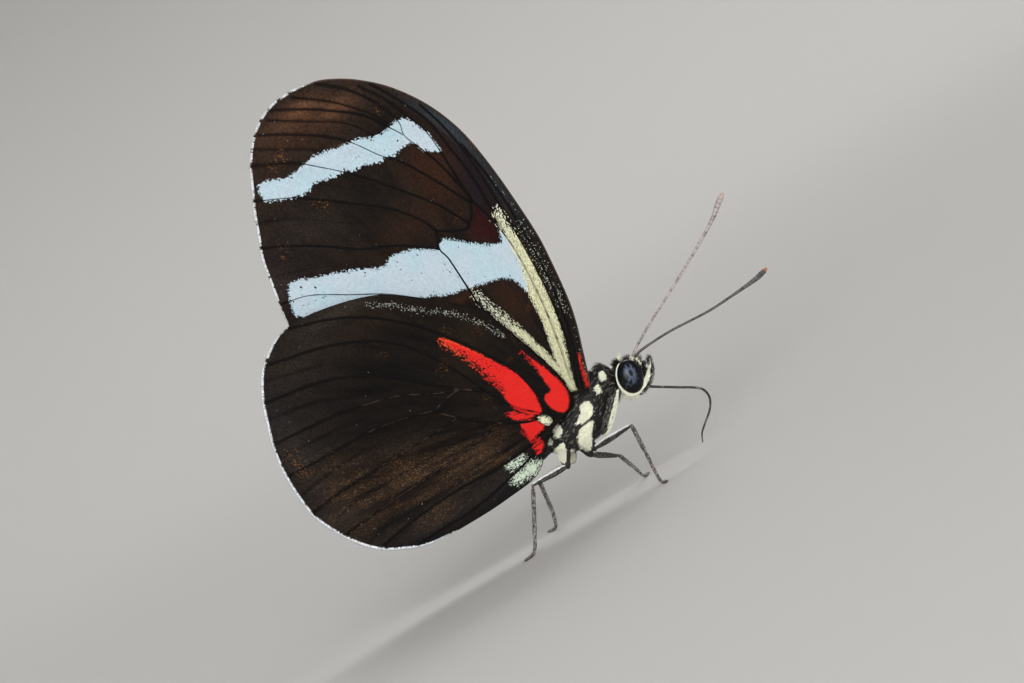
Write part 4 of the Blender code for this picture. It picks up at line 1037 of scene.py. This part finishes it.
LEGS = {
    "midleg_right": ((7.9, -0.75, 6.0), (8.25, -1.15, 4.75), (11.75, -2.7, 5.02), (11.6, -5.3, 2.7),
                     (11.45, -6.3, 0.32), (11.85, -7.9, 0.24)),
    "midleg_left": ((7.6, 0.75, 6.0), (7.75, 1.15, 4.35), (9.75, 3.6, 2.95), (10.3, 6.2, 1.45),
                    (10.65, 7.2, 0.3), (11.1, 8.8, 0.24)),
    "hindleg_right": ((6.0, -0.75, 6.0), (5.7, -1.15, 4.6), (2.55, -2.5, 4.78), (0.5, -4.1, 0.95),
                      (0.05, -4.8, 0.27), (-0.9, -6.1, 0.24)),
    "hindleg_left": ((6.6, 0.75, 6.1), (6.25, 1.15, 4.6), (3.1, 2.75, 4.5), (2.75, 5.4, 1.5), (2.4, 6.5, 0.3),
                     (1.7, 7.9, 0.24)),
}
FORELEG_COXA = ((11.6, 0.95, 7.7), (10.9, 1.15, 6.9), (9.75, 1.1, 5.75), (9.35, 1.0, 5.45))
FORELEG_SHIN = ((9.45, 1.05, 5.45), (9.95, 1.25, 5.6), (11.1, 1.45, 6.75), (12.15, 1.3, 7.9))
COXA_RADII = (0.42, 0.50, 0.46, 0.34, 0.20)
THIGH_RADII = (0.16, 0.25, 0.285, 0.27, 0.235, 0.19, 0.12)
SHIN_RADII = (0.10, 0.17, 0.175, 0.17, 0.165, 0.17, 0.185, 0.12)
FOOT_RADIUS, FOOT_JOINTS = 0.145, 5
CLAW_LENGTH, CLAW_RADII, CLAW_TURN, CLAW_STATIONS = 0.24, (0.045, 0.012), math.pi * 0.55, 12
FORELEG_COXA_RADII = (0.22, 0.30, 0.27, 0.18)
FORELEG_SHIN_RADII = (0.18, 0.27, 0.30, 0.26, 0.14)
FORELEG_HAIRS = 1500
LEG_SIDES = 18
LIMB_STEP = 0.05
# Tufts on coxa, thigh, shin and foot: how many, their length and their width
LEG_HAIR = ((1300, 0.24, 0.07), (520, 0.12, 0.035), (460, 0.12, 0.03), (240, 0.10, 0.03))


def limb(start, end, widths):
    """One segment of a leg as rings, its radius following widths and rounded off at both ends like a ball."""
    start, end = np.array(start, float), np.array(end, float)
    length = np.linalg.norm(end - start)
    t = np.linspace(0, 1, max(10, int(length / LIMB_STEP)))
    radius = spread(widths, len(t))
    short = np.clip(np.minimum(t, 1 - t) * length / radius, 0.04, 1)
    radius = radius * np.sqrt(1 - (1 - short) ** 2)
    return tube_rings(start + (end - start) * t[:, None], radius, LEG_SIDES)


def leg_tubes(coxa, trochanter, knee, ankle, heel, toe):
    """Coxa, thigh, shin and foot as rings, each with its end in the one before; the foot has five joints."""
    foot = smooth_line([ankle, ankle + (heel - ankle) * 0.75, heel + (toe - heel) * 0.22, toe], 0.05)
    away = way_along(foot)
    share = away / away[-1]
    joint = (share * FOOT_JOINTS) % 1.0
    foot_radius = FOOT_RADIUS - 0.035 * share - 0.035 * bell(joint / 0.12) + 0.012 * joint
    foot[:, 2] = np.maximum(foot[:, 2] - 0.10 * np.clip(share * 3 - 1, 0, 1), foot_radius * 0.92)
    return [
        limb(coxa, trochanter + (trochanter - coxa) * 0.08, COXA_RADII),
        limb(trochanter + (0, 0, 0.05), knee, THIGH_RADII),
        limb(knee + (ankle - knee) * -0.02, ankle, SHIN_RADII),
        tube_rings(foot, foot_radius, LEG_SIDES),
    ]


def leg(name, material, coat):
    """A walking leg: its shell, the scales and bristles on it, and its claws."""
    points = np.array(LEGS[name])
    parts = leg_tubes(*points)
    piece, skin = tube_piece(f"{name}_shell", parts)
    crest, segment = [], []
    for index, rings in enumerate(parts):
        rise = unit(rings - rings.mean(axis=1, keepdims=True))[..., 2]
        crest.append(np.append(rise, (0.0, 0.0)))
        segment.append(np.full(rise.size + 2, index))
    carry(piece, crest=np.concatenate(crest), segment=np.concatenate(segment), cream=body_cream(skin))
    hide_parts(name)
    finish_with(piece, material)
    rng = np.random.default_rng(51)
    bristles = []
    for index, (rings, (count, size, width)) in enumerate(zip(parts, LEG_HAIR)):
        p, normal, run, unwrap = surface_samples(rings, count, rng)
        lie = run + normal * 0.30 + rng.normal(0, 0.10, p.shape)
        share, foot_share = rng.random((2, count)) < 0.3
        # the thigh's bristles are pale on top: white scales, partly a painted highlight where light falls
        # from above
        pale = (body_cream(p) > 0, normal[:, 2] > 0.62, share, foot_share)[index]
        bristles.append((p, lie, normal, np.full(count, size), np.full(count, width), pale,
                         unwrap * (0.24, 1.0) + (0.25 * index, 0.0)))
    p, lie, normal, size, width, pale, unwrap = gathered(bristles)
    lie = unit(lie)
    size *= rng.uniform(0.7, 1.2, len(p))
    keep = p[:, 2] + lie[:, 2] * size > FLOOR_CLEARANCE
    p, lie, normal, size, width, pale, unwrap = (
        field[keep] for field in (p, lie, normal, size, width, pale, unwrap))
    scatter_tufts(f"{name}_bristles", p, lie, normal, size, width, -normal * 0.3, pale, unwrap, coat)
    heel, toe = points[-2:]
    claws(name, toe, toe - heel, material)


def claws(name, toe, ahead, material):
    """Two small hooks at the end of the foot, each a quarter turn of a tapering tube."""
    ahead = unit(ahead * (1.0, 1.0, 0.0))
    beside = np.array((-ahead[1], ahead[0], 0.0))
    turn = np.linspace(0, CLAW_TURN, CLAW_STATIONS)[:, None]
    hooks = []
    for hand in (-1.0, 1.0):
        path = toe + ahead * CLAW_LENGTH * np.sin(turn) + beside * hand * (0.05 + 0.11 * np.sin(turn / 2))
        path[:, 2:] -= 0.06 + 0.13 * (1 - np.cos(turn))
        path[:, 2] = np.maximum(path[:, 2], 0.03)
        hooks.append(tube_rings(path, np.linspace(*CLAW_RADII, CLAW_STATIONS), 8))
    piece, _ = tube_piece(f"{name}_claws", hooks)
    carry(piece, crest=-1.0, segment=3.0, cream=-1.0)
    finish_with(piece, material)


def foreleg(word, material, coat):
    """The folded foreleg: coxa and shin side by side, cream along its front edge and dark hair behind."""
    side = SIDES[word]
    rng = np.random.default_rng(61)
    parts = []
    for path, radii in ((FORELEG_COXA, FORELEG_COXA_RADII), (FORELEG_SHIN, FORELEG_SHIN_RADII)):
        line = smooth_line(mirrored(path, side), 0.07)
        parts.append(tube_rings(line, spread(radii, len(line)), LEG_SIDES))
    piece, _ = tube_piece(f"foreleg_{word}_shell", parts)
    carry(piece, crest=-1.0, segment=0.0, cream=-1.0)
    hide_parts(f"foreleg_{word}")
    finish_with(piece, material)
    tufts = []
    for index, (rings, way) in enumerate(zip(parts, (-1, 1))):
        p, normal, run, unwrap = surface_samples(rings, FORELEG_HAIRS, rng)
        lie = run * way + normal * 0.25 + rng.normal(0, 0.1, p.shape)
        pale = (normal @ (0.62, side * 0.35, -0.62) > 0.22) & (index == 1)
        tufts.append((p, lie, normal, pale, unwrap * (0.48, 1.0) + (0.5 * index, 0.0)))
    p, lie, normal, pale, unwrap = gathered(tufts)
    grey = (rng.random(len(p)) < 0.30) * rng.uniform(0.15, 0.45, len(p))
    length = np.where(pale, 0.2, rng.uniform(0.2, 0.38, len(p)))
    scatter_tufts(f"foreleg_{word}_coat", p, unit(lie), normal, length, np.where(pale, CREAM_WIDTH, 0.05),
                  -normal * 0.3, np.maximum(pale, grey), unwrap, coat)


# Materials

class Value:
    """A number that varies over a surface. Sums, products and powers of it add Math nodes to its material."""

    def __init__(self, paint, socket):
        self.paint = paint
        self.socket = socket

    def step(self, operation, *numbers):
        """The outcome of one Math node."""
        made = self.paint.node("ShaderNodeMath", {"operation": operation}, dict(enumerate(numbers)))
        return Value(self.paint, made.outputs[0])

    def __add__(self, other):
        return self.step("ADD", self, other)

    def __sub__(self, other):
        return self.step("SUBTRACT", self, other)

    def __mul__(self, other):
        return self.step("MULTIPLY", self, other)

    def __pow__(self, other):
        return self.step("POWER", self, other)

    def least(self, other):
        """The lesser of two numbers."""
        return self.step("MINIMUM", self, other)

    def most(self, other):
        """The greater of two numbers."""
        return self.step("MAXIMUM", self, other)

    def rise(self, start, end):
        """0 at start and below, 1 at end and above, smooth between; end may be the lower of the two."""
        turned_round = end < start
        made = self.paint.node("ShaderNodeMapRange", {"interpolation_type": "SMOOTHSTEP"},
                               {"Value": self, "From Min": min(start, end), "From Max": max(start, end),
                                "To Min": float(turned_round), "To Max": float(not turned_round)})
        return Value(self.paint, made.outputs["Result"])


class Paint:
    """One material, made node by node round a Principled shader."""

    def __init__(self, name):
        self.material = bpy.data.materials.new(name)
        self.material.use_nodes = True
        self.tree = self.material.node_tree
        self.shader = self.tree.nodes["Principled BSDF"]

    def give(self, socket, value):
        """Links a socket to a value, or sets it to a constant."""
        if isinstance(value, Value):
            value = value.socket
        if isinstance(value, bpy.types.NodeSocket):
            self.tree.links.new(value, socket)
        else:
            socket.default_value = value

    def node(self, kind, settings=None, values=None):
        """Adds a node: its settings first, then the value or link of each socket, by name or by number."""
        made = self.tree.nodes.new(kind)
        for name, setting in (settings or {}).items():
            setattr(made, name, setting)
        for key, value in (values or {}).items():
            self.give(made.inputs[key], value)
        return made

    def attributes(self, *names):
        """The numbers that the piece carries under these names."""
        return [Value(self, self.node("ShaderNodeAttribute", {"attribute_name": name}).outputs["Fac"])
                for name in names]

    def coordinates(self):
        """The object's own coordinates, in metres."""
        return self.node("ShaderNodeTexCoord").outputs["Object"]

    def joined_axes(self, x, y, z=0.0):
        """A place or a colour from three numbers."""
        return self.node("ShaderNodeCombineXYZ", None, {"X": x, "Y": y, "Z": z}).outputs[0]

    def noise(self, scale, detail=2.0, place=None, roughness=0.5):
        """Soft noise between 0 and 1."""
        made = self.node("ShaderNodeTexNoise", {"noise_dimensions": "3D"},
                         {"Vector": place or self.coordinates(), "Scale": scale, "Detail": detail,
                          "Roughness": roughness})
        return Value(self, made.outputs["Fac"])

    def cells(self, scale, place=None):
        """Cells of a Voronoi pattern: the distance from each cell's point, and two random numbers a cell."""
        made = self.node("ShaderNodeTexVoronoi", None,
                         {"Vector": place or self.coordinates(), "Scale": scale})
        parts = self.node("ShaderNodeSeparateColor", None, {"Color": made.outputs["Color"]})
        return [Value(self, out) for out in (made.outputs["Distance"], parts.outputs[0], parts.outputs[1])]

    def cracks(self, scale, place):
        """How far it is to the nearest border of a Voronoi pattern's cells."""
        made = self.node("ShaderNodeTexVoronoi", {"feature": "DISTANCE_TO_EDGE"},
                         {"Vector": place, "Scale": scale})
        return Value(self, made.outputs["Distance"])

    def mix(self, share, first, second, blend="MIX"):
        """Two colours mixed: the first at share 0, the second at share 1."""
        made = self.node("ShaderNodeMix", {"data_type": "RGBA", "blend_type": blend, "clamp_factor": True},
                         {0: share, 6: first, 7: second})
        return made.outputs[2]

    def layered(self, colour, *layers):
        """A colour under layers, each given as its share and its own colour."""
        for share, over in layers:
            colour = self.mix(share, colour, over)
        return colour

    def shaded(self, colour, amount):
        """A colour made darker or lighter by an amount."""
        return self.mix(1.0, colour, self.joined_axes(amount, amount, amount), "MULTIPLY")

    def bump(self, height, strength, distance):
        """A normal bent by a height of so many millimetres."""
        values = {"Strength": strength, "Distance": distance * MM, "Height": height}
        return self.node("ShaderNodeBump", None, values).outputs["Normal"]

    def set(self, **sockets):
        """Gives the shader's sockets their values and the material as a whole."""
        for name, value in sockets.items():
            self.give(self.shader.inputs[name.replace("_", " ")], value)
        return self.material


WHITE = srgb(176, 204, 214)
LILAC = srgb(187, 201, 212)
YELLOW = srgb(222, 221, 182)
CREAM = srgb(250, 252, 214)
PALE_GREEN = srgb(204, 218, 198)
RED = srgb(216, 35, 31)
ORANGE = srgb(226, 84, 38)


def wing_ground(p, kind, reach, run, cloud):
    """The dark brown between the marks, and how much of it veins, folds, dust and sheen change: the dark
    lines in the folds are painted shade, and the lighter bands between veins and folds are partly painted
    light.
    """
    vein, fold, warm, cool, dust, grey = p.attributes("vein", "fold", "warm", "cool", "dust", "grey")
    between = vein.least(fold).rise(0.03, 0.30)
    if kind == "hindwing":
        streak = run.rise(0.36, 0.6) * 0.75 + 0.25
        dusted = dust * streak * (cloud + 0.1).rise(0.25, 0.7) * (between * 0.6 + 0.4)
        return p.layered(p.mix(run.rise(0.3, 0.7), srgb(8, 6, 5), srgb(22, 17, 13)),
                         (warm * 0.6, srgb(40, 28, 18)),
                         # partly the stripes' own lighter colour and partly painted light on the pleats,
                         # lighter between the veins and the folds
                         (between * reach.rise(17.0, 23.0) * 0.3, srgb(50, 43, 39)),
                         (cool * 0.6, srgb(32, 31, 33)),
                         (grey * 0.5, srgb(58, 50, 42)),
                         (dusted * 0.5, srgb(66, 48, 32)),
                         # painted shade: a dark line along each fold, where shade falls in the crease
                         (fold.rise(0.10, 0.03) * 0.5, srgb(6, 5, 5)))
    front, sheen, maroon = p.attributes("front", "sheen", "maroon")
    return p.layered(p.mix(run.rise(0.3, 0.7), srgb(16, 12, 9), srgb(32, 24, 18)),
                     (warm * 0.6, srgb(60, 33, 17)),
                     # partly the stripes' own lighter colour and partly painted light on the pleats, lighter
                     # between the veins and the folds
                     (between * reach.rise(26.0, 31.0) * 0.35, srgb(62, 46, 37)),
                     (dust * (between * 0.6 + 0.4) * 0.75, srgb(116, 80, 56)),
                     (grey * 0.5, srgb(68, 58, 54)),
                     (cool * 0.7, srgb(27, 18, 24)),
                     (sheen * front.rise(1.3, 0.7) * front.rise(0.08, 0.25) * 0.6, srgb(58, 68, 74)),
                     (front.rise(0.16, 0.04) * 0.6, srgb(96, 80, 70)),
                     ((maroon + (cloud - 0.5) * 1.4).rise(-0.6, 0.6) * 0.7, srgb(50, 11, 15)),
                     # painted shade: a dark line along each fold, where shade falls in the crease
                     (fold.rise(0.09, 0.03) * reach.rise(19.0, 27.0) * 0.95, srgb(7, 5, 4)))


def wing_material(kind):
    """Scales of the wing: a dark brown ground, and marks whose edges break up scale by scale, with painted
    shade in the gaps between the scales.
    """
    p = Paint(f"{kind}_scales")
    fore = kind == "forewing"
    place = p.coordinates()
    around, reach, vein, rim = p.attributes("around", "reach", "vein", "rim")
    white_depth, yellow_depth, red_depth, specks = p.attributes("white", "yellow", "red", "specks")
    lie = p.joined_axes(around, reach * 0.6)
    edge, tone, pick = p.cells(11.0, lie)
    _, dot, chance = p.cells(19.0, lie)
    spot, luck, single = p.cells(13000.0, place)
    fine = p.noise(5200.0, 2.0, place)
    jag = (tone - 0.5) * 0.34 + (fine - 0.5) * 0.34
    run = p.noise(1.0, 3.0, p.joined_axes(around * 0.8, reach * 0.16), 0.55)
    cloud = p.noise(260.0, 3.0, place)
    # painted shade: gap is high in the gaps between the scales, and the ground, the white and the yellow are
    # darkened there by it
    gap = edge.rise(0.42, 0.8)

    layers = [(vein.rise(0.15, 0.06) * reach.rise(40.0, 27.0) * 0.9, srgb(3, 2, 2))]
    if not fore:
        dust, = p.attributes("dust")
        dusty = dust * dot.rise(0.86, 0.95) * (cloud + 0.1).rise(0.35, 0.6) * run.rise(0.35, 0.6)
        layers.append((dusty * 0.55, srgb(140, 104, 72)))
    cluster = p.noise(330.0, 3.0, place).rise(0.62, 0.74)
    dots = (specks.rise(-0.18, 0.28) * 0.36 - luck).rise(0.0, 0.03) * spot.rise(0.56, 0.38)
    layers += [(cluster * chance.rise(0.88, 0.92) * 0.55, srgb(160, 104, 42)),
               (single.rise(0.9988, 0.9991) * spot.rise(0.42, 0.26) * 0.8, srgb(180, 180, 178)),
               (dots * 0.85, srgb(200, 204, 192))]
    ground = p.layered(wing_ground(p, kind, reach, run, cloud), *layers)
    ground = p.shaded(ground, tone * 0.6 + 0.72 - gap * 0.24)

    white = (white_depth + (jag * 0.8 if fore else jag * 2.2 - 0.13)).rise(-0.06, 0.06)
    pale = p.mix(cloud.rise(0.35, 0.65), WHITE, LILAC) if fore else PALE_GREEN
    pale = p.shaded(pale, tone * 0.14 + 0.93 - gap * 0.10)
    thin = p.attributes("thin")[0] if fore else 0.0
    straw = p.mix(thin * 0.6, YELLOW if fore else CREAM, srgb(206, 212, 204))
    straw = p.shaded(straw, tone * 0.4 + 0.74 - gap * 0.36)
    yellow = (yellow_depth - thin * 0.20 + jag * (thin * 2.4 + 0.9)).rise(-0.01, 0.03)
    torn = reach.rise(3.0, 8.0) * vein.rise(0.35, 0.75) * rim.rise(0.4, 0.8)
    red = (red_depth - torn * 0.10 + jag * (torn * 2.4 + (1.0 if fore else 0.5))).rise(-0.01, 0.03)
    scarlet = p.layered(RED, ((tone - 0.3) * 0.25, srgb(255, 86, 74)),
                        ((cloud - 0.35) * 0.7, srgb(196, 16, 24)),
                        (red_depth.rise(0.25, 0.0) * reach.rise(7.0, 12.0) * 0.8, ORANGE))
    below = p.layered(ground, (white * pick.rise(0.004, 0.007), pale),
                      (yellow * (pick.rise(0.9, 0.86) * 0.5 + 0.5), straw), (red, scarlet))
    above = p.mix(white, p.mix(run.rise(0.3, 0.7), srgb(8, 8, 11), srgb(14, 16, 28)), pale)
    return p.set(Base_Color=p.mix(p.attributes("under")[0], above, below), Roughness=fine * 0.2 + 0.55,
                 Specular_IOR_Level=0.07, Normal=p.bump(edge * -1.0 + fine * 0.4, 0.35, 0.03))


def vein_material():
    """Nearly black veins, browner to the margin, the bold one dusted with the marks that it crosses."""
    p = Paint("wing_veins")
    grain = p.noise(1500.0, 2.0)
    reach, tan, white, yellow, red, bold = p.attributes("reach", "tan", "white", "yellow", "red", "bold")
    dusting = bold.rise(0.02, 0.0) * (grain + 0.1).rise(0.35, 0.7)
    colour = p.layered(p.mix(grain, srgb(4, 3, 3), srgb(12, 9, 8)),
                       (reach.rise(24.0, 34.0) * 0.7, srgb(26, 19, 15)),
                       (tan * grain.rise(0.40, 0.65) * 0.42, srgb(84, 66, 52)),
                       (white.rise(0.0, 0.08) * dusting * 0.4, srgb(150, 164, 178)),
                       (yellow.rise(0.0, 0.08) * dusting * 0.85, srgb(176, 170, 140)),
                       (red.rise(0.0, 0.08) * dusting * 0.85, srgb(198, 24, 28)))
    return p.set(Base_Color=colour, Roughness=0.5, Specular_IOR_Level=0.08, Normal=p.bump(grain, 0.3, 0.02))


def tuft_material(name, dark, pale, roughness):
    """Slivers that are dark or pale by tint, each between two shades of its colour by tone."""
    p = Paint(name)
    tone, tint = p.attributes("tone", "tint")
    return p.set(Base_Color=p.mix(tint, p.mix(tone, *dark), p.mix(tone, *pale)), Roughness=roughness)


def skin_material():
    """Dark skin, cream in the marks."""
    p = Paint("body_skin")
    grain = p.noise(1400.0, 3.0)
    dark = p.mix(grain, srgb(12, 10, 10), srgb(42, 35, 32))
    cream = (p.attributes("cream")[0] + (grain - 0.5) * 0.2).rise(-0.03, 0.05)
    return p.set(Base_Color=p.mix(cream, dark, CREAM), Roughness=0.6, Normal=p.bump(grain, 0.5, 0.04))


def eye_material():
    """Black facets with painted light: a dark pseudopupil oval in a crackle of blue-grey painted reflections
    on the upper half, faint mottling below.
    """
    p = Paint("eye_facets")
    x, z = p.attributes("eye_x", "eye_z")
    wobble = p.noise(1900.0, 2.0) - 0.5
    grain = p.noise(6000.0, 2.0)
    # painted light: the dark oval is the pseudopupil, and the blue-grey lines and halo round it are painted
    # reflections, fixed on the eye
    oval = ((x + 0.02) * (x + 0.02) * 1.9 + (z - 0.26) * (z - 0.26) * 0.55) ** 0.5
    lines = p.cracks(2.3, p.joined_axes(x + 0.16, z * 0.8 + 0.3)).rise(0.23, 0.05)
    painted_reflection_halo = (oval + wobble * 0.06).rise(0.16, 0.24) * (oval + wobble * 0.25).rise(0.50, 0.30)
    painted_eye_reflection = (lines * (oval + wobble * 0.5).rise(0.74, 0.48)).most(painted_reflection_halo * 0.8) * (grain * 0.5 + 0.5)
    low = (z + 0.95).rise(0.0, 0.3) * (z + 0.1).rise(0.1, -0.25) * p.noise(3200.0, 2.0).rise(0.50, 0.68)
    colour = p.layered(srgb(9, 10, 14), (painted_eye_reflection, srgb(88, 101, 126)), (low * 0.45, srgb(78, 84, 98)),
                       (oval.rise(0.23, 0.17) * 0.92, srgb(8, 9, 13)))
    return p.set(Base_Color=colour, Roughness=0.28, Specular_IOR_Level=0.22,
                 Normal=p.bump(p.cells(26000.0)[0], 0.15, 0.008))


def feeler_material(dark, light, end):
    """Rings of scales with a pale bloom, and a tip of its own colour at the end of the club."""
    p = Paint("feeler_rings")
    along, joint = p.attributes("along", "joint")
    grain = p.noise(2200.0, 2.0)
    colour = p.layered(dark, ((grain + joint * 0.3).rise(0.35, 0.8), light),
                       (along.rise(0.965, 0.985) * 0.85, end))
    return p.set(Base_Color=colour, Roughness=0.45, Normal=p.bump(joint, 0.5, 0.03))


def tongue_material():
    """Dark skin with pale flecks."""
    p = Paint("tongue_skin")
    grain = p.noise(1800.0, 2.0)
    colour = p.mix(grain.rise(0.52, 0.72), srgb(26, 21, 19), srgb(128, 120, 112))
    return p.set(Base_Color=colour, Roughness=0.35, Normal=p.bump(grain, 0.4, 0.03))


def leg_material():
    """A dark shell dusted with silvery scales, with a white line along the top of the thigh: white scales,
    partly a painted highlight where light falls from above.

    Coxae are cream in the marks. The segments are numbered 0 for the coxa, 1 thigh, 2 shin and 3 foot.
    """
    p = Paint("leg_scales")
    far, tone, _ = p.cells(11000.0)
    grain = p.noise(1600.0, 2.0)
    segment, crest, cream = p.attributes("segment", "crest", "cream")
    shin = segment.rise(1.5, 2.0)
    thigh = segment.rise(0.5, 1.0) * segment.rise(2.0, 1.5)
    silver = (tone + (grain - 0.5) * 0.7).rise(0.55, 0.8) * (shin * 0.45 + 0.25)
    # the white line on the top of the thigh: white scales, partly a painted highlight where light falls from
    # above
    line = (crest + (grain - 0.5) * 0.3 + (tone - 0.5) * 0.2).rise(0.30, 0.50) * thigh
    mark = (cream + (grain - 0.5) * 0.2).rise(-0.03, 0.05) * segment.rise(0.5, 0.2)
    colour = p.layered(p.mix(shin, srgb(27, 23, 22), srgb(66, 54, 50)), (silver, srgb(186, 182, 182)),
                       (line, srgb(244, 246, 248)), (mark, CREAM))
    return p.set(Base_Color=colour, Roughness=0.42, Normal=p.bump(far, 0.4, 0.03))


# Stage, light and camera

BOWL_FLAT, BOWL_CURVE, BOWL_TOP = 600.0, 900.0, 2000.0
BOWL_SIDES = 96
AIR_COLOUR, AIR_STRENGTH = (0.92, 0.95, 1.0, 1.0), 0.26
LAMP_AIM = (0.0, 0.0, 0.018)

# Each lamp's place and size in metres, and its power in watts
LAMPS = {
    "key_light": ((-0.05, -0.94, 0.29), 0.60, 8.6),
    "fill_light": ((0.66, -0.60, 0.14), 0.55, 1.7),
    "back_light": ((0.15, 0.75, 0.68), 0.60, 3.3),
}


def bowl(material):
    """A flat floor that curves up into a wide wall: past the flat, its profile is a quarter circle."""
    turn = np.linspace(0, math.pi / 2, 40)[1:]
    flat = np.linspace(2.0, BOWL_FLAT, 12)
    radius = np.concatenate([flat, BOWL_FLAT + BOWL_CURVE * np.sin(turn), [BOWL_FLAT + BOWL_CURVE]])
    height = np.concatenate([flat * 0, BOWL_CURVE * (1 - np.cos(turn)), [BOWL_TOP]])
    angle = ring_angles(BOWL_SIDES)
    rings = np.stack([radius[:, None] * np.cos(angle), radius[:, None] * np.sin(angle),
                      np.repeat(height[:, None], BOWL_SIDES, axis=1)], axis=-1)
    points = np.vstack([rings.reshape(-1, 3), (0.0, 0.0, 0.0)]) + BOX_CENTRE
    k = np.arange(BOWL_SIDES)
    middle = np.stack([np.full(BOWL_SIDES, len(points) - 1), k, (k + 1) % BOWL_SIDES], axis=1)
    wall = grid_faces(len(radius), BOWL_SIDES, wrap=True)[:, ::-1]
    floor = link_mesh("studio_floor", points, [wall, middle], body=None)
    floor.data.materials.append(material)


def stage_material():
    """Light grey paper."""
    return Paint("studio_paper").set(Base_Color=srgb(214, 212, 208), Roughness=0.9)


def lamp(name, place, size, power):
    """A square soft light at a place in metres, turned to the middle of the animal and not seen itself."""
    light = bpy.data.lights.new(name, "AREA")
    light.size = size
    light.energy = power
    holder = bpy.data.objects.new(name, light)
    bpy.context.scene.collection.objects.link(holder)
    holder.location = place
    holder.rotation_euler = Matrix(axes_of(np.array(place) - LAMP_AIM)).transposed().to_euler()
    holder.visible_camera = False


def axes_of(back, roll=0.0):
    """Right, up and back directions of something that looks against back, with its top turned by roll."""
    back = unit(np.array(back, float))
    right = unit(np.cross((0.0, 0.0, 1.0), back))
    up = np.cross(back, right)
    turned_right = math.cos(roll) * right - math.sin(roll) * up
    turned_up = math.sin(roll) * right + math.cos(roll) * up
    return [tuple(turned_right), tuple(turned_up), tuple(back)]


def camera():
    """The photo's camera: level with the wings, rolled with the animal, as wide as the photo there."""
    back = np.array((0.0, -math.cos(CAMERA_RISE), math.sin(CAMERA_RISE)))
    data = bpy.data.cameras.new("photo_camera")
    data.sensor_width = SENSOR
    data.lens = SENSOR * CAMERA_DISTANCE / PHOTO_WIDTH
    data.clip_start, data.clip_end = 0.01, 10.0
    holder = bpy.data.objects.new("photo_camera", data)
    bpy.context.scene.collection.objects.link(holder)
    turn = Matrix(axes_of(back, CAMERA_ROLL)).transposed().to_4x4()
    holder.matrix_world = Matrix.Translation(placed(PHOTO_MIDDLE) + back * CAMERA_DISTANCE * MM) @ turn
    bpy.context.scene.camera = holder


def studio():
    """A pale floor and wall, a faint even light, a key light by the camera, and two softer lights."""
    world = bpy.data.worlds.new("studio_air")
    bpy.context.scene.world = world
    world.use_nodes = True
    air = world.node_tree.nodes["Background"]
    air.inputs["Color"].default_value = AIR_COLOUR
    air.inputs["Strength"].default_value = AIR_STRENGTH
    bowl(stage_material())
    for name, (place, size, power) in LAMPS.items():
        lamp(name, place, size, power)
    bpy.context.scene.view_settings.view_transform = "Standard"


# Everything, piece by piece

camera()
studio()
vein_paint = vein_material()
fringe_paint = tuft_material("fringe_scales", (srgb(30, 21, 18), srgb(30, 21, 18)),
                             (srgb(238, 243, 250), srgb(252, 254, 255)), 0.6)
for kind in WINGS:
    fields = wing_fields(kind)
    wing_paint = wing_material(kind)
    for word in SIDES:
        wing_piece(kind, word, fields, wing_paint)
        vein_tubes(kind, word, vein_paint)
        fringe(kind, word, fringe_paint)

skin_paint, leg_paint, eye_paint = skin_material(), leg_material(), eye_material()
coat_paint = tuft_material("coat_hair", (srgb(8, 7, 7), srgb(27, 23, 22)),
                           (srgb(246, 246, 220), srgb(255, 255, 240)), 0.55)
bristle_paint = tuft_material("leg_bristles", (srgb(18, 15, 14), srgb(60, 52, 48)),
                              (srgb(236, 236, 208), srgb(250, 250, 236)), 0.5)
# painted light and shade: the right feeler, nearer the camera, is given lighter colours and the left one
# darker, as lit and shaded copies of one feeler
feeler_paints_lit_and_shaded = {
    "right": feeler_material(srgb(108, 98, 96), srgb(184, 174, 172), srgb(190, 160, 146)),
    "left": feeler_material(srgb(44, 41, 42), srgb(104, 100, 102), srgb(214, 128, 62)),
}
body_skin(skin_paint)
body_coat(coat_paint)
tongue(tongue_material())
for word in SIDES:
    eye_piece(word, eye_paint)
    eye_rim(word, coat_paint)
    head_tufts(word, coat_paint)
    palp(word, skin_paint, coat_paint)
    feeler(word, feeler_paints_lit_and_shaded[word])
    foreleg(word, leg_paint, coat_paint)
for name in LEGS:
    leg(name, leg_paint, bristle_paint)
